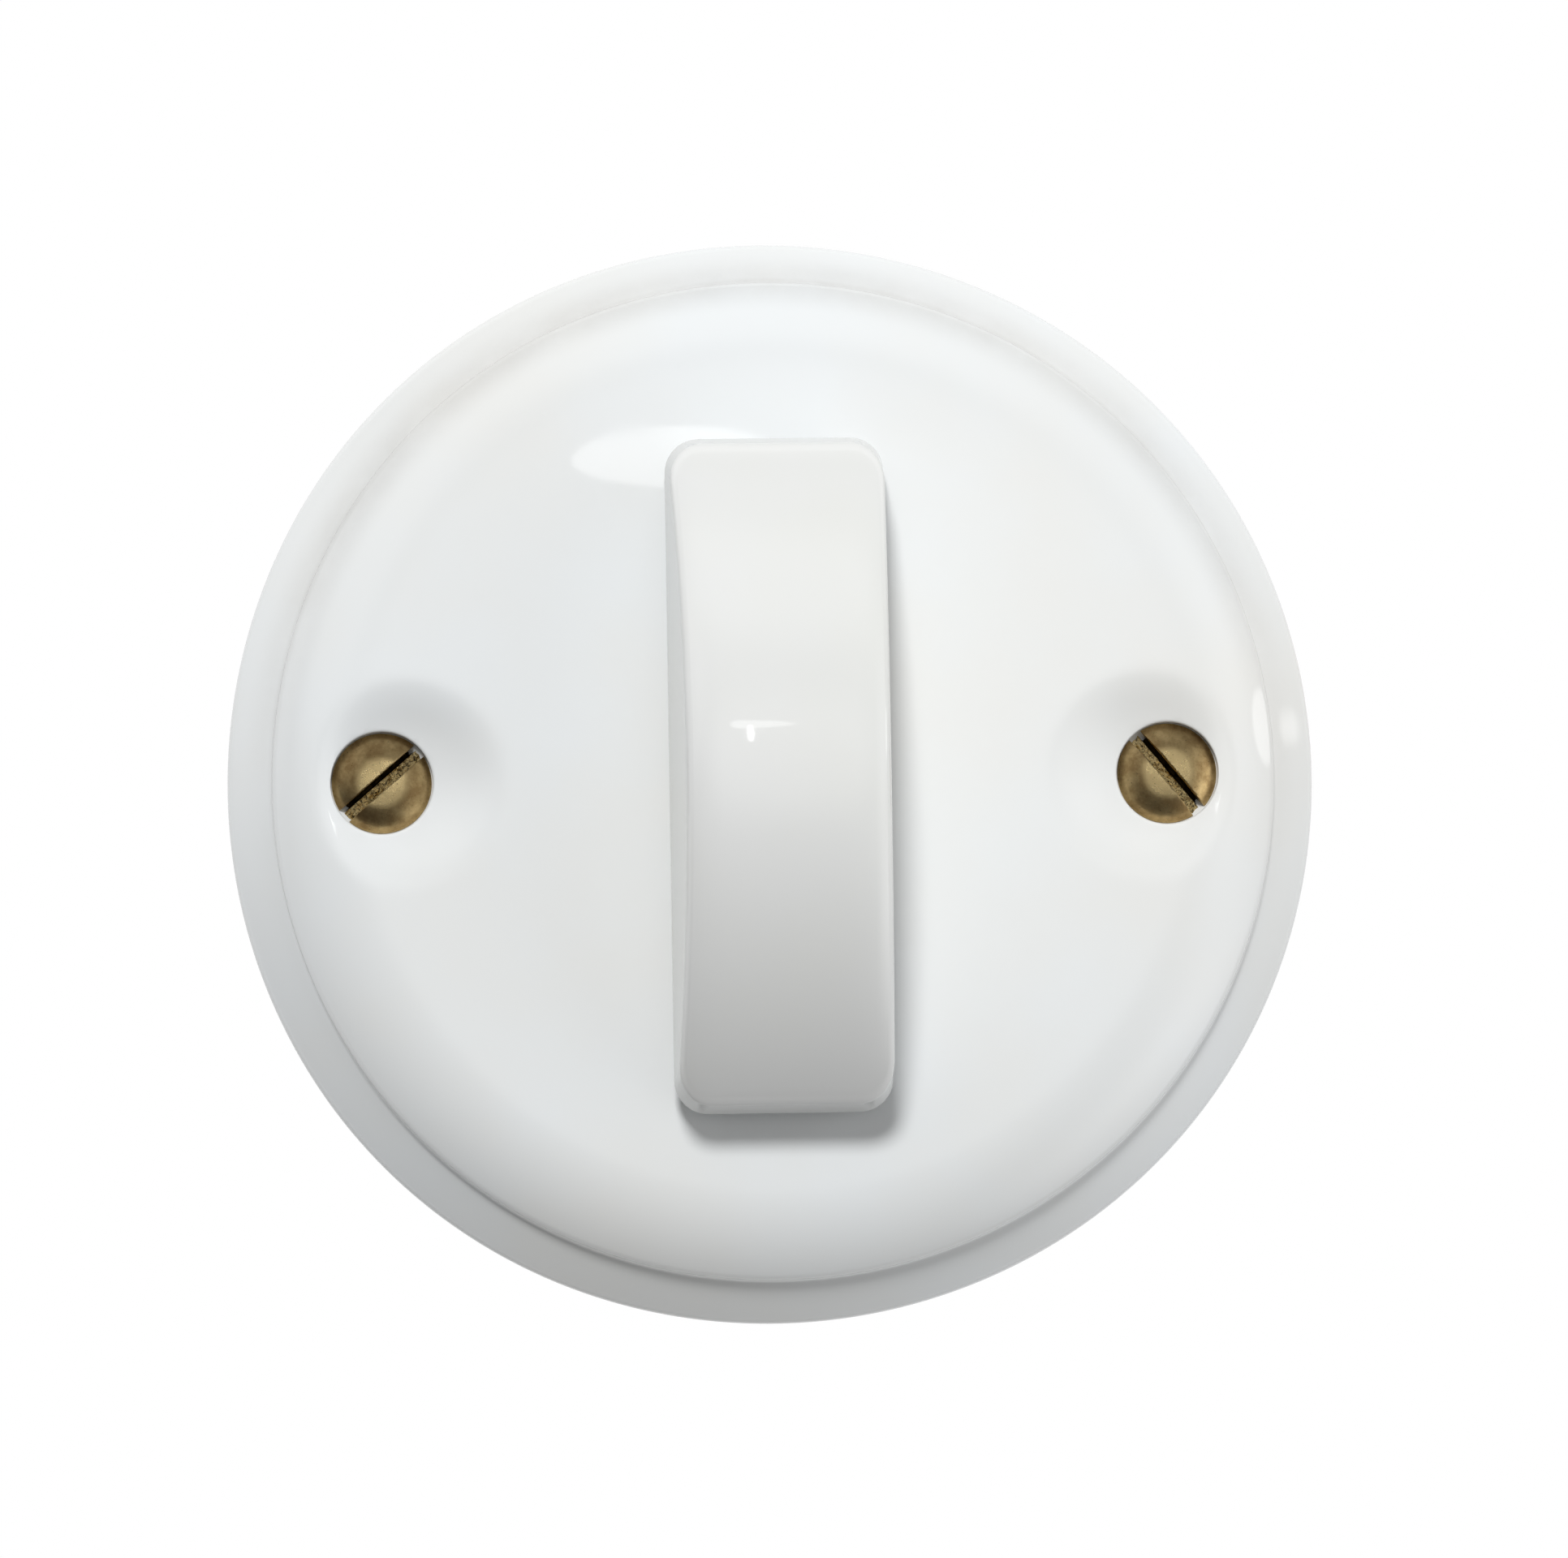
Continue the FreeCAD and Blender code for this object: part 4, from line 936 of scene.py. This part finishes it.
# It folds by more than this
LIP_FOLD = math.radians(30)


def wear_slot(mesh, sizes):
    """Round the long edges of the slot a little."""
    lip = []
    for edge in mesh.edges:
        beside = all(abs(abs(v.co.z) - sizes.slot_width / 2) < LIP_NEAR for v in edge.verts)
        high = max(v.co.y for v in edge.verts) < SCREWS_LOW.y + sizes.slot_depth - sizes.tear_depth
        along = abs(edge.verts[0].co.x - edge.verts[1].co.x) > LIP_NEAR
        if beside and high and along and edge.is_manifold and edge.calc_face_angle() > LIP_FOLD:
            lip.append(edge)
    bevel(mesh, lip, sizes.slot_edge, segments=2)


def build_cover_screws(sizes, colours, screw_radius):
    material = aged_brass(colours, sizes, screw_radius)
    for name, side, turn in (("left", -1, sizes.slot_left), ("right", 1, sizes.slot_right)):
        mesh = bmesh.new()
        screw_section(mesh, sizes)
        turn_round(mesh, SMALL_STEPS)
        screw = add_object(f"cover_screw_{name}", mesh)
        combine(screw, thread(sizes), "UNION")
        combine(screw, slot_cutter(sizes, side), "DIFFERENCE")
        edit(screw, wear_slot, sizes)
        place = Matrix.Translation((side * screw_radius, 0, 0)) @ Matrix.Rotation(-turn, 4, "Y")
        screw.data.transform(place)
        finish(screw, material, crease=38, body="housing", node="cover_screws")


INNER_FINISHES = {
    "brass": machined_brass,
    "zinc_plated_steel": zinc_plated_steel,
    "spring_steel": spring_steel,
    "spring_bronze": spring_bronze,
    "steatite": pressed_steatite,
    "dark_moulding": thermoset_moulding,
    "pressed_fibre": pressed_fibre,
}


def finish_inner_pieces(colours):
    """Give each piece behind the plate the finish of its slot in the record."""
    made = {slot: build(colours) for slot, build in INNER_FINISHES.items()}
    for part in frame["record"]["subparts"]:
        if part["material_slot"] in made:
            data = frame["nodes"][part["node"]].data
            data.materials.clear()
            data.materials.append(made[part["material_slot"]])


# Studio

# Soft lamps far off: azimuth, elevation, half width and half height in degrees, strength,
# and the share of its half size over which a lamp is evenly bright
SOFT_LAMPS = (
    (66, -4, 30, 34, 1.1, 0.45),
    (70, -35, 22, 22, 0.9, 0.45),
    (4, 6, 26, 18, 0.7, 0.45),
    (-45, 22, 20, 20, 0.55, 0.45),
    (-85, 20, 14, 28, 0.8, 0.45),
    (-10, 56, 40, 16, 0.45, 0.45),
    (84, 8, 12, 4.5, 2, 0.8),
    (-0.1, 15.3, 4.2, 1.3, 2.2, 0.9),
    (0.8, 12.6, 0.5, 2.6, 7, 0.7),
)
# That share and the one at which a lamp has faded out add up to this
LAMP_FADE = 1.85
# Strength of the white backdrop, and of the room where no lamp is
BEHIND = 1.0
DIMMEST = 0.03
# How far back a direction points where the backdrop starts, and where it is full
BACKDROP_START = -0.05
BACKDROP_FULL = 0.25


def facing(azimuth, elevation):
    """The unit vector from the switch to a place: azimuth to the right of the front, elevation above it."""
    turn, rise = math.radians(azimuth), math.radians(elevation)
    return Vector((math.sin(turn) * math.cos(rise), -math.cos(turn) * math.cos(rise), math.sin(rise)))


def light_sky():
    """Fill the world with the soft lamps in front and a plain white backdrop behind."""
    world = bpy.data.worlds.new("studio_sky")
    bpy.context.scene.world = world
    world.use_nodes = True
    tree = world.node_tree
    tree.nodes.clear()
    ray = add_node(tree, "TexCoord").outputs["Generated"]
    total = DIMMEST
    for azimuth, elevation, half_width, half_height, strength, core in SOFT_LAMPS:
        centre = facing(azimuth, elevation)
        right = centre.cross((0, 0, 1)).normalized()
        ways = {
            "X": right / math.sin(math.radians(half_width)),
            "Y": right.cross(centre) / math.sin(math.radians(half_height)),
        }
        offsets = {}
        for axis, way in ways.items():
            offsets[axis] = add_node(
                tree, "VectorMath", {0: ray, 1: way}, operation="DOT_PRODUCT"
            ).outputs["Value"]
        spread = add_node(tree, "CombineXYZ", offsets)
        away = add_node(tree, "VectorMath", {0: spread}, operation="LENGTH").outputs["Value"]
        glow = add_node(
            tree, "MapRange",
            {"Value": away, "From Min": LAMP_FADE - core, "From Max": core, "To Max": strength},
            interpolation_type="SMOOTHSTEP",
        )
        ahead = add_node(
            tree, "VectorMath", {0: ray, 1: centre}, operation="DOT_PRODUCT"
        ).outputs["Value"]
        seen = add_node(tree, "Math", {0: ahead, 1: 0.0}, operation="GREATER_THAN")
        total = add_node(tree, "Math", {0: glow, 1: seen, 2: total}, operation="MULTIPLY_ADD")
    depth = add_node(tree, "SeparateXYZ", {"Vector": ray}).outputs["Y"]
    rear = add_node(
        tree, "MapRange",
        {"Value": depth, "From Min": BACKDROP_START, "From Max": BACKDROP_FULL, "To Max": BEHIND},
        interpolation_type="SMOOTHSTEP",
    )
    level = add_node(tree, "Math", {0: total, 1: rear}, operation="MAXIMUM")
    back = add_node(tree, "Background", {"Color": (1, 1, 1, 1), "Strength": level})
    add_node(tree, "OutputWorld", {"Surface": back})


def hang_key_lamp(settings):
    """Hang a soft round lamp up in front, which lights the glaze without mirroring in it as a white disc."""
    data = bpy.data.lights.new("key_lamp", "AREA")
    data.shape = "DISK"
    data.size = settings.key_width
    data.energy = settings.key_power
    lamp = bpy.data.objects.new("key_lamp", data)
    bpy.context.scene.collection.objects.link(lamp)
    away = facing(math.degrees(settings.key_azimuth), math.degrees(settings.key_elevation))
    lamp.location = away * settings.key_distance
    lamp.rotation_mode = "QUATERNION"
    lamp.rotation_quaternion = (-away).to_track_quat("-Z", "Y")
    lamp.visible_glossy = False


def lay_floor(settings, colours):
    """Lay a pale floor that takes the switch's shadow, and neither blocks the lamps nor throws light back."""
    mesh = bmesh.new()
    bmesh.ops.create_circle(mesh, cap_ends=True, segments=SMALL_STEPS, radius=settings.floor_radius)
    bmesh.ops.translate(mesh, vec=(0, 0, settings.floor_level), verts=mesh.verts)
    floor = add_object("studio_floor", mesh)
    floor.data.materials.append(studio_floor(colours))
    floor.visible_diffuse = False
    floor.visible_glossy = False
    floor.visible_shadow = False


def set_camera(settings):
    """Set the camera a little left of the switch's front and a little below it, as the photograph has it."""
    data = bpy.data.cameras.new("camera")
    camera = bpy.data.objects.new("camera", data)
    bpy.context.scene.collection.objects.link(camera)
    bpy.context.scene.camera = camera
    data.sensor_width = 36
    data.lens = data.sensor_width * settings.camera_distance / settings.picture_width
    back = facing(math.degrees(settings.camera_azimuth), math.degrees(settings.camera_elevation))
    aim = Vector((settings.aim_right, 0, settings.aim_up))
    camera.location = aim + back * settings.camera_distance
    camera.rotation_mode = "QUATERNION"
    roll = Quaternion((0, 0, 1), -settings.camera_roll)
    camera.rotation_quaternion = (-back).to_track_quat("-Z", "Y") @ roll


class SWITCH_OT_cover_plate(Operator):
    """Model the glazed cover plate with its stepped rim, screw dishes and hollow back"""

    bl_idname = "switch.cover_plate"
    bl_label = "Cover Plate"

    def execute(self, context):
        build_cover_plate(context.scene.switch_plate, context.scene.switch_finish)
        return {"FINISHED"}


class SWITCH_OT_knob(Operator):
    """Model the glazed bar knob with its neck, bore and pockets"""

    bl_idname = "switch.knob"
    bl_label = "Knob"

    def execute(self, context):
        build_knob(context.scene.switch_knob, context.scene.switch_finish)
        return {"FINISHED"}


class SWITCH_OT_cover_screws(Operator):
    """Model the two brass cover screws with their slots and threads"""

    bl_idname = "switch.cover_screws"
    bl_label = "Cover Screws"

    def execute(self, context):
        scene = context.scene
        build_cover_screws(scene.switch_screws, scene.switch_finish, scene.switch_plate.screw_radius)
        return {"FINISHED"}


class SWITCH_OT_inner_pieces(Operator):
    """Finish the strap, the base and the other pieces behind the plate"""

    bl_idname = "switch.inner_pieces"
    bl_label = "Inner Pieces"

    def execute(self, context):
        finish_inner_pieces(context.scene.switch_finish)
        return {"FINISHED"}


class SWITCH_OT_studio(Operator):
    """Set the light, the floor and the camera"""

    bl_idname = "switch.studio"
    bl_label = "Studio"

    def execute(self, context):
        scene = context.scene
        scene.view_settings.view_transform = "Standard"
        light_sky()
        hang_key_lamp(scene.switch_studio)
        lay_floor(scene.switch_studio, scene.switch_finish)
        set_camera(scene.switch_studio)
        return {"FINISHED"}


OPERATORS = (
    SWITCH_OT_cover_plate,
    SWITCH_OT_knob,
    SWITCH_OT_cover_screws,
    SWITCH_OT_inner_pieces,
    SWITCH_OT_studio,
)
GROUPS = {
    "switch_plate": PlateSizes,
    "switch_knob": KnobSizes,
    "switch_screws": ScrewSizes,
    "switch_finish": FinishColours,
    "switch_studio": StudioSettings,
}


class SWITCH_PT_panel(Panel):
    """Lists the sizes, colours and steps of the switch"""

    bl_label = "Porcelain Rotary Switch"
    bl_space_type = "VIEW_3D"
    bl_region_type = "UI"
    bl_category = "Switch"

    def draw(self, context):
        for operator in OPERATORS:
            self.layout.operator(operator.bl_idname)
        for name in GROUPS:
            box = self.layout.box()
            group = getattr(context.scene, name)
            for key in group.__annotations__:
                box.prop(group, key)


def register():
    for cls in (*GROUPS.values(), *OPERATORS, SWITCH_PT_panel):
        bpy.utils.register_class(cls)
    for name, cls in GROUPS.items():
        setattr(bpy.types.Scene, name, PointerProperty(type=cls))


def unregister():
    for name in GROUPS:
        delattr(bpy.types.Scene, name)
    for cls in (SWITCH_PT_panel, *reversed(OPERATORS), *reversed(GROUPS.values())):
        bpy.utils.unregister_class(cls)


def main():
    register()
    bpy.ops.switch.cover_plate()
    bpy.ops.switch.knob()
    bpy.ops.switch.cover_screws()
    bpy.ops.switch.inner_pieces()
    bpy.ops.switch.studio()
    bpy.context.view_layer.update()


if __name__ == "__main__":
    main()
